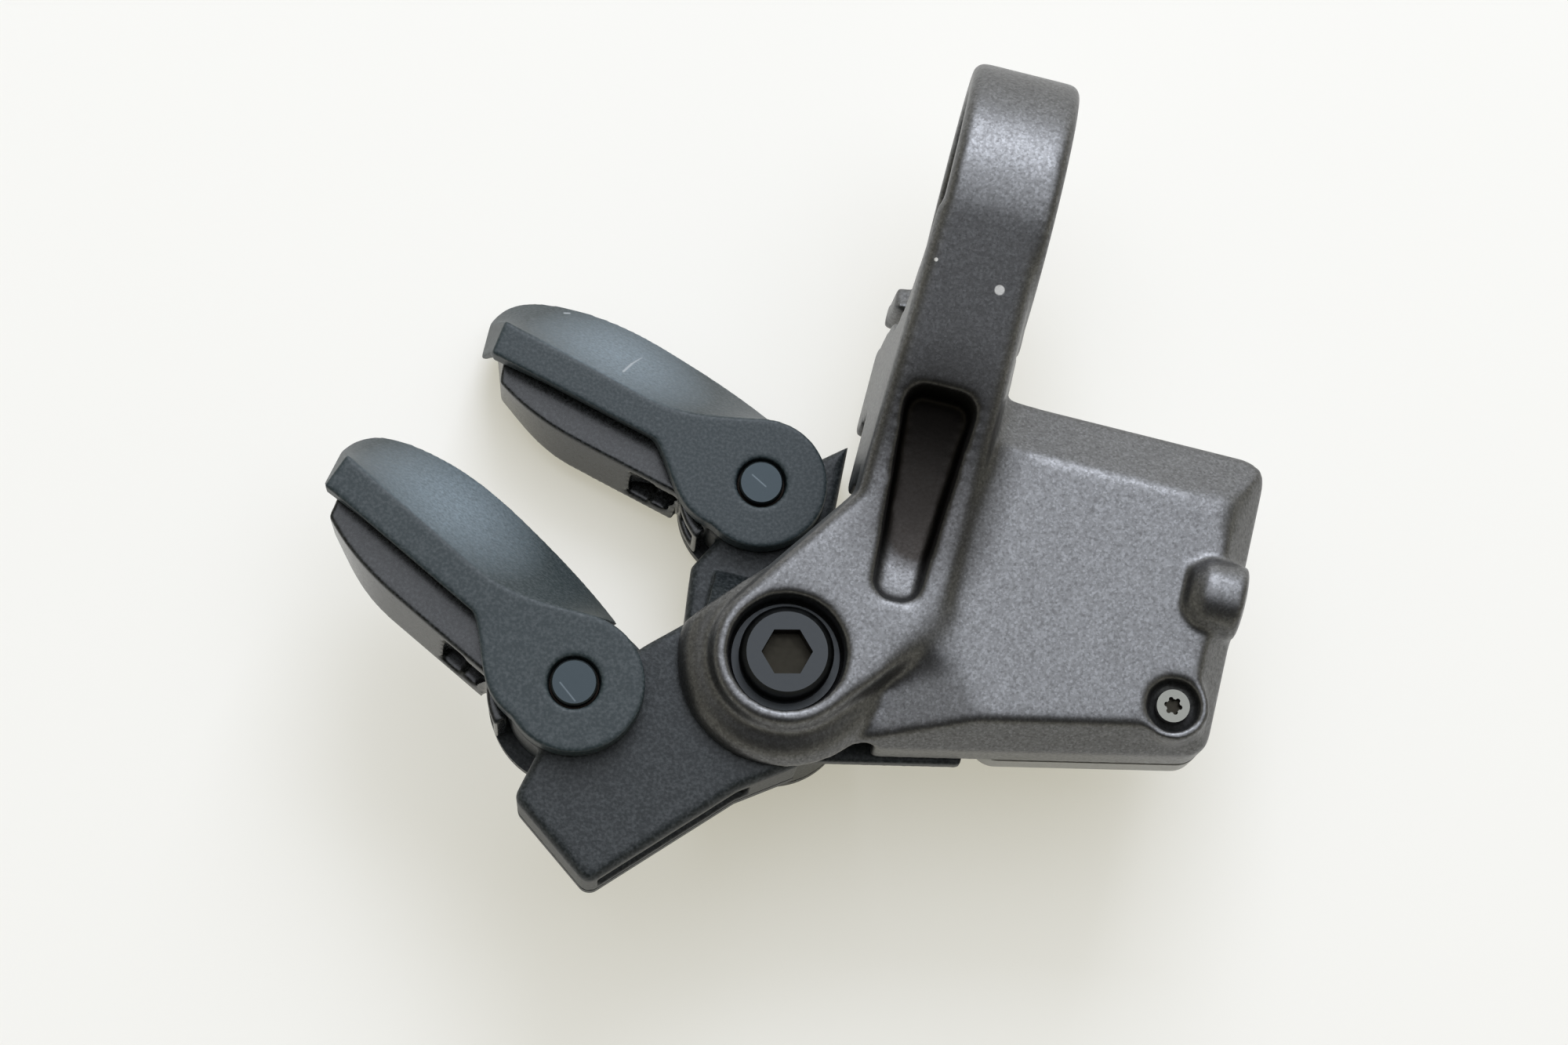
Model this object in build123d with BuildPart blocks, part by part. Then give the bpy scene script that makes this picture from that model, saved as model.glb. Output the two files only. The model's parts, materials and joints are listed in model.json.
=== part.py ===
"""Electronic trigger shifter: a cast clamp bracket, its cell and board, and two thumb paddles.

Millimetres. Origin at the centre of the handlebar bore, +X along the bar towards the stem,
+Y up the face plate towards the bar, +Z out of the face plate.
"""

import math
import os

from build123d import *

# Handlebar clamp
BAR_R = 11.1
RING_WALL = 3.1
RING_WIDTH = 10.2
RING_EDGE = 1.0
BORE_RELIEF = 0.6
SPLIT_GAP = 2.4
SPLIT_TOP_Y = -7.5
UPPER_EAR_T = 2.6
LOWER_EAR_T = 9.0
LUG_MID_X = -0.85
LUG_DRAFT = 3.5
LUG_BACK_Z = -17.2
LUG_FRONT_WEB_Z = -8.4
LUG_FOOT_Y = -27.0
CLAMP_SCREW_R = 2.0
CLAMP_SCREW_Z = -13.7
CLAMP_BITE = 3.7
CLAMP_HEAD_R = 3.5
CLAMP_HEAD_H = 3.6
CLAMP_KEY = 3.0
CLAMP_KEY_DEPTH = 1.6
CLAMP_WASHER_R = 3.9
CLAMP_WASHER_T = 0.8

# Neck between the ring and the boss
NECK_SLOPE = 18.0
NECK_BLEND = 26.0
NECK_LEFT_X = -5.0
NECK_LEFT_END_X = -6.2
NECK_RIGHT_X = 5.0
NECK_RIGHT_END_X = 3.4
NECK_EDGE = 1.3
FLARE_H = 1.3
FLARE_W = 5.0
FLARE_END_H = 0.1
FLARE_END_W = 2.0
FLARE_SAG = 0.2
POCKET_TOP_Y = -19.9
POCKET_END_Y = -38.7
POCKET_TOP_W = 5.9
POCKET_END_W = 3.5
POCKET_CORNER = 1.3
POCKET_TOP_Z = 5.2
POCKET_LOW_Y = -33.0
POCKET_LOW_Z = 2.8
POCKET_END_Z = 5.2

# Boss and the bolt that holds the paddle unit
BOLT = (-9.0, -46.0)
BOSS_TOP_Z = 6.0
BOSS_TOP_R = 6.75
BOSS_DRAFT = 12.0
BOSS_EDGE = 0.5
FOOT_R = 9.8
FOOT_T = 0.6
FOOT_RISE = 3.0
FLANK_LOW = (-18.4, -44.6)
FLANK_HIGH = (-6.6, -31.8)
SHOULDER = (-1.6, -40.6)
SHOULDER_R = 4.7
COUNTERBORE_R = 5.28
COUNTERBORE_DEPTH = 3.6
BOLT_R = 2.5
BOLT_HEAD_R = 4.25
BOLT_HEAD_H = 2.7
BOLT_HEAD_BEVEL = 0.6
HEX_KEY = 4.0
HEX_DEPTH = 1.9
HEX_TURN = 14.0
BOLT_WASHER_R = 4.9
BOLT_WASHER_T = 0.6
NUT_KEY = 8.0
NUT_H = 4.0
NUT_ROOF = 2.0
BOLT_TIP = 1.0
HOLE_CLEARANCE = 0.2

# Face plate and the compartment behind it
FACE_Z = 5.0
EDGE_Z = 1.0
WALL_FOOT_Z = -4.0
PLATE_TOP_Y = -16.9
PLATE_RIGHT_X = 30.2
PLATE_LEFT = (-8.0, -53.75)
PLATE_NECK_X = -3.0
PLATE_SLOPE = 12.7
HOUSING_LEFT_X = 0.6
TOP_FACET = 5.7
RIGHT_FACET = 2.6
BOTTOM_FACET = 2.2
PLATE_CORNER_R = 2.4
RAMP_TOP = (6.8, -43.5)
RAMP_HEADING = 212.0
RAMP_SLOPE = 15.0
SIDE_WALL = 1.7
FACE_WALL = 2.0
LEDGE_W = 1.3
LEDGE_H = 1.4
ROOM_CORNER = 1.6
BULGE_Y = -31.1
BULGE_R = 3.4
BULGE_LEFT_X = 24.5
BULGE_TOP_Z = 6.0
SCREW = (25.9, -42.0)
SCREW_BOSS_R = 3.3
SCREW_BORE_R = 2.38
SCREW_BORE_DEPTH = 1.7
SCREW_HEAD_R = 1.5
SCREW_HEAD_H = 1.1
SCREW_R = 1.0
SCREW_BITE = 3.0
TORX_R = 0.62
TORX_LOBE_R = 0.22
TORX_DEPTH = 0.7
COVER_DEPTH = 4.0
COVER_FLOOR = 1.5
COVER_WALL = 2.6
COVER_LEFT_X = 9.4
COVER_EDGE = 0.8
GASKET_W = 0.8
GASKET_T = 0.8
GASKET_INSET = 0.45
JOINT_GAP = 0.1

# Board, cell and contacts
BOARD_T = 1.0
CELL_R = 8.0
CELL_T = 3.2
CELL = (19.8, -31.0)
CONTACT_T = 0.3
CONTACT_W = 4.0
CONTACT_GAP = 1.1
CONTACT_REACH = 5.0
MODULE_LENGTH = 9.0
MODULE_WIDTH = 7.0
MODULE_T = 1.1
MODULE_Y = -27.0

# Paddles, drawn from the pivot with the tip towards -x and the crown towards +y
LOWER_PIVOT = (-26.8, -53.05)
LOWER_FRONT_Z = 4.0
LOWER_TURN = -26.6
UPPER_PIVOT = (-15.1, -26.9)
UPPER_FRONT_Z = -12.0
UPPER_TURN = -14.2
HUB_R = 6.35
PADDLE_PLATE = 2.6
PAD_DEPTH = 9.8
PADDLE_WALL = 1.4
PADDLE_SLOT_L = 2.6
PADDLE_SLOT_W = 0.8
PADDLE_SLOT_X = -10.6
PADDLE_SLOT_EDGE = 1.3
PADDLE_SLOT_DEPTH = 3.0
FACET_EDGE = [(-29.2, 2.4), (-27.0, 2.3), (-23.5, 2.25), (-16.0, 2.15), (-11.2, 2.3), (-6.4, 3.9)]
CROWN_RISE = [(-32.0, 3.7), (-30.8, 6.6), (-27.0, 8.7), (-19.0, 10.0), (-13.0, 9.75), (-7.0, 9.1)]
CROWN_END = (-1.7, 8.1)
TIP_LOW = (-28.8, -1.1)
REAR_TIP_LOW = (-31.1, 0.3)
NECK_LOW = (-13.0, -0.2)
NECK_CURVE = [(-9.8, -1.9), (-6.4, -4.8)]
HUB_TOP_ANGLE = 112.4
HUB_LOW_ANGLE = 249.5
THUMB_TIP = (-27.2, -2.6)
THUMB_TIP_SLOPE = 22.0
THUMB_FLAT_X = -17.7
THUMB_FRONT = 4.2
THUMB_BACK = 5.3
TAIL_R = 7.9
TAIL_START = 185.0
TAIL_END = 246.0
TAIL_RIB = 1.3
TAIL_WINDOWS = [(199.0, 213.0), (219.0, 241.0)]
PAD_GAP = 0.15
TRAVEL = 9.0
RUN_GAP = 0.3
FIT_GAP = 0.05
SEAT_GAP = 0.02

# Pivots, springs and switches
PIN_HEAD_R = 2.1
PIN_HEAD_H = 1.1
PIN_HEAD_BEVEL = 0.15
PIN_JOURNAL_R = 1.75
PIN_SHANK_R = 1.5
BUSH_WALL = 0.45
CLIP_R = 2.7
CLIP_T = 0.6
CLIP_MOUTH = 1.8
CLIP_GROOVE = 0.35
PIN_TAIL = 0.7
PEG_R = 1.0
PEG = (3.9, -1.0)
PEG_REACH = 4.8
PEG_GAP = 0.35
SPRING_R = 2.15
SPRING_WIRE = 0.5
SPRING_PITCH = 0.75
SPRING_TURNS = 3
SPRING_LEG = 4.4
BUTTON_R = 0.75
BUTTON_LENGTH = 2.5
BUTTON_DEPTH = 6.6
SWITCH_X = 4.6
SWITCH_W = 3.4
SWITCH_L = 3.2
SWITCH_GAP = 1.55
SWITCH_CORNER = 0.3
SWITCH_BACK = 0.4

# Arm and carrier that hold the paddles
POD_R = 6.3
POD_ROOF = 1.5
POD_DEPTH = 7.3
POD_ROOM_R = 5.4
FLOOR_T = 1.5
FLOOR_R = 7.8
ARM_EDGE = 0.9
ARM_END = (-29.6, -64.0)
ARM_CORNER = (-21.3, -70.0)
ARM_WAIST = (-10.3, -58.4)
ARM_LIP = (-5.6, -55.0)
ARM_CORNER_R = 1.2
ARM_HEEL = (1.0, 4.5)
ARM_SHOULDER = (5.4, 5.7)
ARM_ROOT = [(4.6, 0.0), (0.0, 6.1), (-8.9, 2.0)]
CARRIER_HEAD = [(4.8, 4.4), (7.3, 6.5), (7.7, -3.0)]
CARRIER_ROOT = [(6.1, 4.6), (7.6, 0.0), (-4.6, -4.6)]
CARRIER_HEEL = [(-4.0, -14.0), (-4.6, -9.0)]
SLOT_TOP = 2.0
SLOT_H = 4.0
SLOT_DEPTH = 3.6
SLOT_END_WALL = 1.3
TONGUE_LEFT_X = -8.0
TONGUE_RIGHT_X = 9.0
TONGUE_W = 4.0
TONGUE_GAP = 0.3
TONGUE_PROUD = 0.4
ROOT_R = 7.6
RIB_LEFT = -8.2
RIB_SLOPE = 6.5

# Levels worked out from the sizes above
RING_R = BAR_R + RING_WALL
ARM_TOP_Z = LOWER_FRONT_Z - PADDLE_PLATE - RUN_GAP
ARM_FOOT_Z = ARM_TOP_Z - POD_DEPTH
CARRIER_TOP_Z = UPPER_FRONT_Z - PADDLE_PLATE - RUN_GAP
CARRIER_FOOT_Z = CARRIER_TOP_Z - POD_DEPTH
ROOT_TOP_Z = ARM_FOOT_Z - FLOOR_T
SPLIT_LOW_Y = SPLIT_TOP_Y - SPLIT_GAP
UPPER_EAR_Y = SPLIT_TOP_Y + UPPER_EAR_T
LOWER_EAR_Y = SPLIT_LOW_Y - LOWER_EAR_T
CEILING_Z = FACE_Z - FACE_WALL
BOARD_TOP_Z = CEILING_Z - LEDGE_H
BOARD_FOOT_Z = BOARD_TOP_Z - BOARD_T
CELL_TOP_Z = BOARD_FOOT_Z - CONTACT_GAP
CELL_FOOT_Z = CELL_TOP_Z - CELL_T
COVER_FOOT_Z = WALL_FOOT_Z - COVER_DEPTH
WASHER_SEAT_Z = BOSS_TOP_Z - COUNTERBORE_DEPTH
HEAD_SEAT_Z = WASHER_SEAT_Z + BOLT_WASHER_T
NUT_TOP_Z = CARRIER_TOP_Z - NUT_ROOF
BOLT_END_Z = NUT_TOP_Z - NUT_H - BOLT_TIP
SCREW_SEAT_Z = FACE_Z - SCREW_BORE_DEPTH
SCREW_END_Z = WALL_FOOT_Z - SCREW_BITE
ROOM_DEPTH = POD_DEPTH - POD_ROOF
OVERCUT = 1.0
BIG = 100.0


def turned(pivot, front_z, turn):
    """Plane of a paddle's front face, with x along the paddle."""
    heading = math.radians(turn)
    return Plane(
        origin=(*pivot, front_z),
        x_dir=(math.cos(heading), math.sin(heading), 0),
        z_dir=(0, 0, 1),
    )


LOWER = turned(LOWER_PIVOT, LOWER_FRONT_Z, LOWER_TURN)
UPPER = turned(UPPER_PIVOT, UPPER_FRONT_Z, UPPER_TURN)


def level(z):
    """The XY plane at height z."""
    return Plane.XY.offset(z)


def edge_y(x):
    """Height of the plate's sloping lower edge at x."""
    return PLATE_LEFT[1] + math.tan(math.radians(PLATE_SLOPE)) * (x - PLATE_LEFT[0])


def room_corners(inset):
    """Corners of the compartment's outside, moved inwards by inset."""
    left_x = COVER_LEFT_X + inset
    right_x = PLATE_RIGHT_X - inset
    rise = inset / math.cos(math.radians(PLATE_SLOPE))
    return [
        (left_x, PLATE_TOP_Y - inset),
        (right_x, PLATE_TOP_Y - inset),
        (right_x, edge_y(right_x) + rise),
        (left_x, edge_y(left_x) + rise),
    ]


def room_face(z, inset, corner):
    """Rounded outline of the compartment at height z."""
    with BuildSketch(level(z)) as outline:
        with BuildLine():
            Polyline(*room_corners(inset), close=True)
        make_face()
        fillet(outline.vertices(), corner)
    return outline.sketch


def mix(first, second, share):
    """Point a share of the way from the first point to the second."""
    return (
        first[0] + (second[0] - first[0]) * share,
        first[1] + (second[1] - first[1]) * share,
    )


def shifted(start, offsets):
    """Points at a list of offsets from the start."""
    return [(start[0] + x, start[1] + y) for x, y in offsets]


def polar(radius, angle):
    """Point at a radius and an angle in degrees."""
    return (radius * math.cos(math.radians(angle)), radius * math.sin(math.radians(angle)))


# Crease of a paddle's front face and the crown's rear edge, from the tip to the hub
HUB_TOP = polar(HUB_R, HUB_TOP_ANGLE)
CREASE = [*FACET_EDGE, HUB_TOP]
CROWN_EDGE = [*CROWN_RISE, CROWN_END]


def roof(depth, inset):
    """Points along the crown at a depth behind the front face, moved inwards by inset."""
    share = depth / PAD_DEPTH
    points = [mix(a, b, share) for a, b in zip(CREASE, CROWN_EDGE)]
    moved = [(points[0][0] + inset, points[0][1] - inset)]
    for before, point, after in zip(points, points[1:], points[2:] + points[-1:]):
        run = (after[0] - before[0], after[1] - before[1])
        shift = inset / math.hypot(*run)
        moved.append((point[0] + shift * run[1], point[1] - shift * run[0]))
    return moved


def paddle_shell(frame):
    """Front plate with the hub, the crown and the tip wall of a paddle, in one moulding."""
    hub_low = polar(HUB_R, HUB_LOW_ANGLE)
    plate_back = frame.offset(-PADDLE_PLATE)
    with BuildPart() as shell:
        # Wedge between the front facet and the wide rear edge
        for depth, tip, crown in ((0, TIP_LOW, CREASE), (PAD_DEPTH, REAR_TIP_LOW, CROWN_EDGE)):
            inner = (-HUB_R, tip[1])
            with BuildSketch(frame.offset(-depth)):
                with BuildLine():
                    Line(tip, crown[0])
                    Spline(*crown)
                    Line(crown[-1], inner)
                    Line(inner, tip)
                make_face()
        loft(ruled=True)
        # Room under the crown for the thumb pad
        for depth in (PADDLE_PLATE, PAD_DEPTH + OVERCUT):
            points = roof(depth, PADDLE_WALL)
            with BuildSketch(frame.offset(-depth)):
                with BuildLine():
                    Line((points[0][0], -PAD_DEPTH), points[0])
                    Spline(*points)
                    Line(points[-1], (HUB_R, -PAD_DEPTH))
                    Line((HUB_R, -PAD_DEPTH), (points[0][0], -PAD_DEPTH))
                make_face()
        loft(ruled=True, mode=Mode.SUBTRACT)
        # Front plate and hub
        with BuildSketch(frame):
            with BuildLine():
                Line(NECK_LOW, TIP_LOW)
                Line(TIP_LOW, CREASE[0])
                Spline(*CREASE)
                ThreePointArc(HUB_TOP, (HUB_R, 0), hub_low)
                Spline(NECK_LOW, *NECK_CURVE, hub_low)
            make_face()
        extrude(amount=-PADDLE_PLATE)
        # Clearance round the pod
        with BuildSketch(plate_back):
            Circle(POD_R + PEG_GAP)
        extrude(amount=-PAD_DEPTH - OVERCUT, mode=Mode.SUBTRACT)
        # Peg that works the switch
        with BuildSketch(plate_back):
            with Locations(PEG):
                Circle(PEG_R)
        extrude(amount=-PEG_REACH)
        # Stepped bore for the pin's head and the bush
        with BuildSketch(frame):
            Circle(PIN_HEAD_R + RUN_GAP)
        extrude(amount=-PIN_HEAD_H - JOINT_GAP, mode=Mode.SUBTRACT)
        with BuildSketch(frame):
            Circle(PIN_JOURNAL_R + FIT_GAP + BUSH_WALL + SEAT_GAP)
        extrude(amount=-PADDLE_PLATE, mode=Mode.SUBTRACT)
    return shell.part


def sector(plane, inner_r, outer_r, start, end):
    """Part of a ring round a paddle's pivot, between two angles."""
    with BuildSketch(plane) as piece:
        with BuildLine():
            RadiusArc(polar(inner_r, start), polar(inner_r, end), -inner_r)
            Line(polar(inner_r, end), polar(outer_r, end))
            RadiusArc(polar(outer_r, end), polar(outer_r, start), outer_r)
            Line(polar(outer_r, start), polar(inner_r, start))
        make_face()
    return piece.sketch


def thumb_pad(frame):
    """Inner pad that the thumb pushes, slotted, with a ribbed tail that follows the pod."""
    front = PADDLE_PLATE + PAD_GAP
    back = PAD_DEPTH - PAD_GAP
    pod_r = POD_R + PEG_GAP
    inner_x = -HUB_R - PEG_GAP
    with BuildPart() as pad:
        for depth, low in ((front, THUMB_FRONT), (back, THUMB_BACK)):
            top = roof(depth, PADDLE_WALL + PAD_GAP)[:-1]
            bend = (THUMB_FLAT_X, -low)
            with BuildSketch(frame.offset(-depth)):
                with BuildLine():
                    Line(THUMB_TIP, top[0])
                    Spline(*top)
                    Polyline(top[-1], (inner_x, -low), bend)
                    Spline(bend, THUMB_TIP, tangents=((-1, 0), polar(1, 180 - THUMB_TIP_SLOPE)))
                make_face()
        loft(ruled=True)
        extrude(sector(frame.offset(-front), pod_r, TAIL_R, TAIL_START, TAIL_END),
                amount=front - back)
        with BuildSketch(frame.offset(-PADDLE_PLATE)):
            Circle(pod_r)
        extrude(amount=-PAD_DEPTH, mode=Mode.SUBTRACT)
        for start, end in TAIL_WINDOWS:
            extrude(sector(frame.offset(-front - TAIL_RIB), POD_R, 2 * POD_R, start, end),
                    amount=front - back + 2 * TAIL_RIB, mode=Mode.SUBTRACT)
        for depth in (front + PADDLE_SLOT_EDGE, back - PADDLE_SLOT_EDGE):
            mouth = frame.from_local_coords((PADDLE_SLOT_X, -PAD_DEPTH, -depth))
            with BuildSketch(Plane(mouth, x_dir=frame.x_dir, z_dir=frame.y_dir)):
                SlotOverall(PADDLE_SLOT_L, PADDLE_SLOT_W)
            extrude(amount=PAD_DEPTH - THUMB_FRONT + PADDLE_SLOT_DEPTH, mode=Mode.SUBTRACT)
    return pad.part


def bush(frame):
    """Plain bearing pressed into the hub."""
    inner = PIN_JOURNAL_R + FIT_GAP
    top = PIN_HEAD_H + JOINT_GAP
    with BuildPart() as sleeve:
        with BuildSketch(frame.offset(-top)):
            Circle(inner + BUSH_WALL)
            Circle(inner, mode=Mode.SUBTRACT)
        extrude(amount=-(PADDLE_PLATE - top))
    return sleeve.part


def pivot_pin(frame):
    """Turned pin: a head that keeps the paddle on, a journal, and a shank grooved for its clip."""
    seat = PADDLE_PLATE + RUN_GAP
    clip_top = seat + POD_DEPTH + FLOOR_T
    end = clip_top + CLIP_T + PIN_TAIL
    with BuildPart() as pin:
        with BuildSketch(Plane(frame.origin, frame.x_dir, -frame.y_dir)):
            with BuildLine():
                Polyline(
                    (0, 0),
                    (PIN_HEAD_R - PIN_HEAD_BEVEL, 0),
                    (PIN_HEAD_R, -PIN_HEAD_BEVEL),
                    (PIN_HEAD_R, -PIN_HEAD_H),
                    (PIN_JOURNAL_R, -PIN_HEAD_H),
                    (PIN_JOURNAL_R, -seat),
                    (PIN_SHANK_R, -seat),
                    (PIN_SHANK_R, -clip_top),
                    (PIN_SHANK_R - CLIP_GROOVE, -clip_top),
                    (PIN_SHANK_R - CLIP_GROOVE, -clip_top - CLIP_T),
                    (PIN_SHANK_R, -clip_top - CLIP_T),
                    (PIN_SHANK_R, -end),
                    (0, -end),
                    close=True,
                )
            make_face()
        revolve(axis=Axis(frame.origin, frame.z_dir))
    return pin.part


def pin_clip(frame):
    """Retaining clip in the pin's groove."""
    top = PADDLE_PLATE + RUN_GAP + POD_DEPTH + FLOOR_T + SEAT_GAP
    with BuildPart() as clip:
        with BuildSketch(frame.offset(-top)):
            Circle(CLIP_R)
            Circle(PIN_SHANK_R - CLIP_GROOVE + SEAT_GAP, mode=Mode.SUBTRACT)
            with Locations((CLIP_R, 0)):
                Rectangle(2 * CLIP_R, CLIP_MOUTH, mode=Mode.SUBTRACT)
        extrude(amount=-CLIP_T + 2 * SEAT_GAP)
    return clip.part


def return_spring(frame):
    """Torsion spring coiled round the pin, with one leg on the peg and one on the pod's wall."""
    top = PADDLE_PLATE + RUN_GAP + POD_ROOF + SPRING_WIRE
    coil_height = SPRING_PITCH * SPRING_TURNS
    with BuildPart() as spring:
        with BuildLine(frame.offset(-top - coil_height)):
            path = Helix(SPRING_PITCH, coil_height, SPRING_R)
        with BuildSketch(Plane(path @ 0, x_dir=frame.x_dir, z_dir=path % 0)):
            Rectangle(SPRING_WIRE, SPRING_WIRE)
        sweep(path=path)
        with BuildSketch(frame.offset(-top - SPRING_WIRE / 2)):
            with Locations((SPRING_R + SPRING_LEG / 4, PEG_R + PEG[1] + SPRING_WIRE)):
                Rectangle(SPRING_LEG / 2, SPRING_WIRE)
        extrude(amount=SPRING_WIRE)
        with BuildSketch(frame.offset(-top - coil_height - SPRING_WIRE / 2)):
            with Locations((SPRING_R, SPRING_LEG / 4)):
                Rectangle(SPRING_WIRE, SPRING_LEG / 2)
        extrude(amount=SPRING_WIRE)
    return spring.part


def button_plane(frame):
    """Plane across the button, at the end that meets the peg, with z away from the peg."""
    tip = frame.from_local_coords((PEG[0], PEG[1] - PEG_R - FIT_GAP, -BUTTON_DEPTH))
    return Plane(tip, x_dir=frame.x_dir, z_dir=-frame.y_dir)


def switch_button(frame):
    """Plunger of the switch, pushed by the paddle's peg."""
    with BuildPart() as button:
        with BuildSketch(button_plane(frame)):
            Circle(BUTTON_R)
        extrude(amount=BUTTON_LENGTH)
    return button.part


def switch_body(frame):
    """Sealed switch that stands on the pod's floor beside the peg."""
    foot = PADDLE_PLATE + RUN_GAP + POD_DEPTH
    height = foot - BUTTON_DEPTH + 2 * BUTTON_R
    with BuildPart() as body:
        with BuildSketch(frame.offset(-foot)):
            with Locations((SWITCH_X, PEG[1] - PEG_R - SWITCH_GAP - SWITCH_L / 2)):
                RectangleRounded(SWITCH_W, SWITCH_L, SWITCH_CORNER)
        extrude(amount=height)
        with BuildSketch(button_plane(frame)):
            Circle(BUTTON_R + FIT_GAP)
        extrude(amount=SWITCH_GAP + SWITCH_L - SWITCH_BACK, mode=Mode.SUBTRACT)
    return body.part


def pod_room(frame):
    """Outline of the hollow under a paddle's hub, with the switch's bay."""
    with BuildSketch(frame.offset(-(PADDLE_PLATE + RUN_GAP + POD_ROOF))) as room:
        Circle(POD_ROOM_R)
        with Locations((SWITCH_X, PEG[1] - PEG_R - SWITCH_GAP - SWITCH_L / 2)):
            Rectangle(SWITCH_W + 2 * JOINT_GAP, SWITCH_L + 2 * JOINT_GAP)
        with Locations((PEG[0], PEG[1] - PEG_R - SWITCH_GAP / 2)):
            Rectangle(2 * (BUTTON_R + RUN_GAP), 2 * SWITCH_GAP)
    return room.sketch


def peg_slot(frame):
    """Curved slot that the peg travels along."""
    reach = math.hypot(*PEG)
    start = math.degrees(math.atan2(PEG[1], PEG[0]))
    with BuildSketch(frame.offset(-PADDLE_PLATE)) as slot:
        for share in (0, 0.5, 1):
            angle = math.radians(start - TRAVEL * share)
            with Locations((reach * math.cos(angle), reach * math.sin(angle))):
                Circle(PEG_R + PEG_GAP)
    return slot.sketch


def pin_hole(frame):
    """Hole for a pivot pin's shank."""
    with BuildSketch(frame) as hole:
        Circle(PIN_SHANK_R + SEAT_GAP)
    return hole.sketch


def arm_face(z, hub_r):
    """Outline of the lower arm at height z."""
    with BuildSketch(level(z)) as outline:
        with BuildLine():
            Polyline(
                ARM_END,
                ARM_CORNER,
                ARM_WAIST,
                ARM_LIP,
                *shifted(BOLT, ARM_ROOT),
                *shifted(LOWER_PIVOT, [ARM_SHOULDER]),
                LOWER_PIVOT,
                *shifted(ARM_END, [ARM_HEEL]),
                close=True,
            )
        make_face()
        ends = [outline.vertices().sort_by_distance((*p, 0))[0] for p in (ARM_END, ARM_CORNER)]
        fillet(ends, ARM_CORNER_R)
        with Locations(LOWER_PIVOT):
            Circle(hub_r)
    return outline.sketch


def carrier_face(z, hub_r):
    """Outline of the upper carrier at height z."""
    with BuildSketch(level(z)) as outline:
        with BuildLine():
            Polyline(
                UPPER_PIVOT,
                *shifted(UPPER_PIVOT, CARRIER_HEAD),
                *shifted(BOLT, CARRIER_ROOT),
                *shifted(UPPER_PIVOT, CARRIER_HEEL),
                close=True,
            )
        make_face()
        with Locations(UPPER_PIVOT):
            Circle(hub_r)
        with Locations(BOLT):
            Circle(ROOT_R)
    return outline.sketch


# Clamp bracket: face plate, neck, lug, ring and boss in one casting
edge_heading = math.radians(PLATE_SLOPE)
edge_plane = Plane(
    origin=(*PLATE_LEFT, 0),
    x_dir=(math.sin(edge_heading), -math.cos(edge_heading), 0),
    z_dir=(-math.cos(edge_heading), -math.sin(edge_heading), 0),
)
ramp_heading = math.radians(RAMP_HEADING)
ramp_plane = Plane(
    origin=(*RAMP_TOP, FACE_Z),
    x_dir=(math.cos(ramp_heading), math.sin(ramp_heading), 0),
    z_dir=(math.sin(ramp_heading), -math.cos(ramp_heading), 0),
)
ramp_drop = BIG * math.tan(math.radians(RAMP_SLOPE))
slope = math.radians(NECK_SLOPE)
neck_top = (-RING_R * math.sin(slope), RING_R * math.cos(slope))
knee_y = -(RING_R - BOSS_TOP_Z * math.cos(slope)) / math.sin(slope)
bolt_section = Plane(origin=(*BOLT, 0), x_dir=(1, 0, 0), z_dir=(0, -1, 0))
clamp_axis = Plane(
    origin=(LUG_MID_X, LOWER_EAR_Y, CLAMP_SCREW_Z), x_dir=(1, 0, 0), z_dir=(0, 1, 0)
)


def facet(plane, run):
    """Section of the wedge that slants an edge of the face plate, from the edge at x = 0."""
    with BuildSketch(plane) as wedge:
        with BuildLine():
            Polyline(
                (-run, FACE_Z),
                (0, EDGE_Z),
                (OVERCUT, EDGE_Z),
                (OVERCUT, FACE_Z + OVERCUT),
                (-run, FACE_Z + OVERCUT),
                close=True,
            )
        make_face()
    return wedge.sketch


def flare_face(y, rise, width):
    """Hollow section that runs from the neck's flank down to the face plate, across y."""
    top = (NECK_RIGHT_END_X, FACE_Z + rise)
    foot = (NECK_RIGHT_END_X + width, FACE_Z)
    middle = mix(top, foot, 0.5)
    with BuildSketch(Plane(origin=(0, y, 0), x_dir=(1, 0, 0), z_dir=(0, -1, 0))) as section:
        with BuildLine():
            ThreePointArc(top, (middle[0], middle[1] - FLARE_SAG * rise), foot)
            Polyline(foot, (foot[0], EDGE_Z), (top[0], EDGE_Z), top)
        make_face()
    return section.sketch


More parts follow.
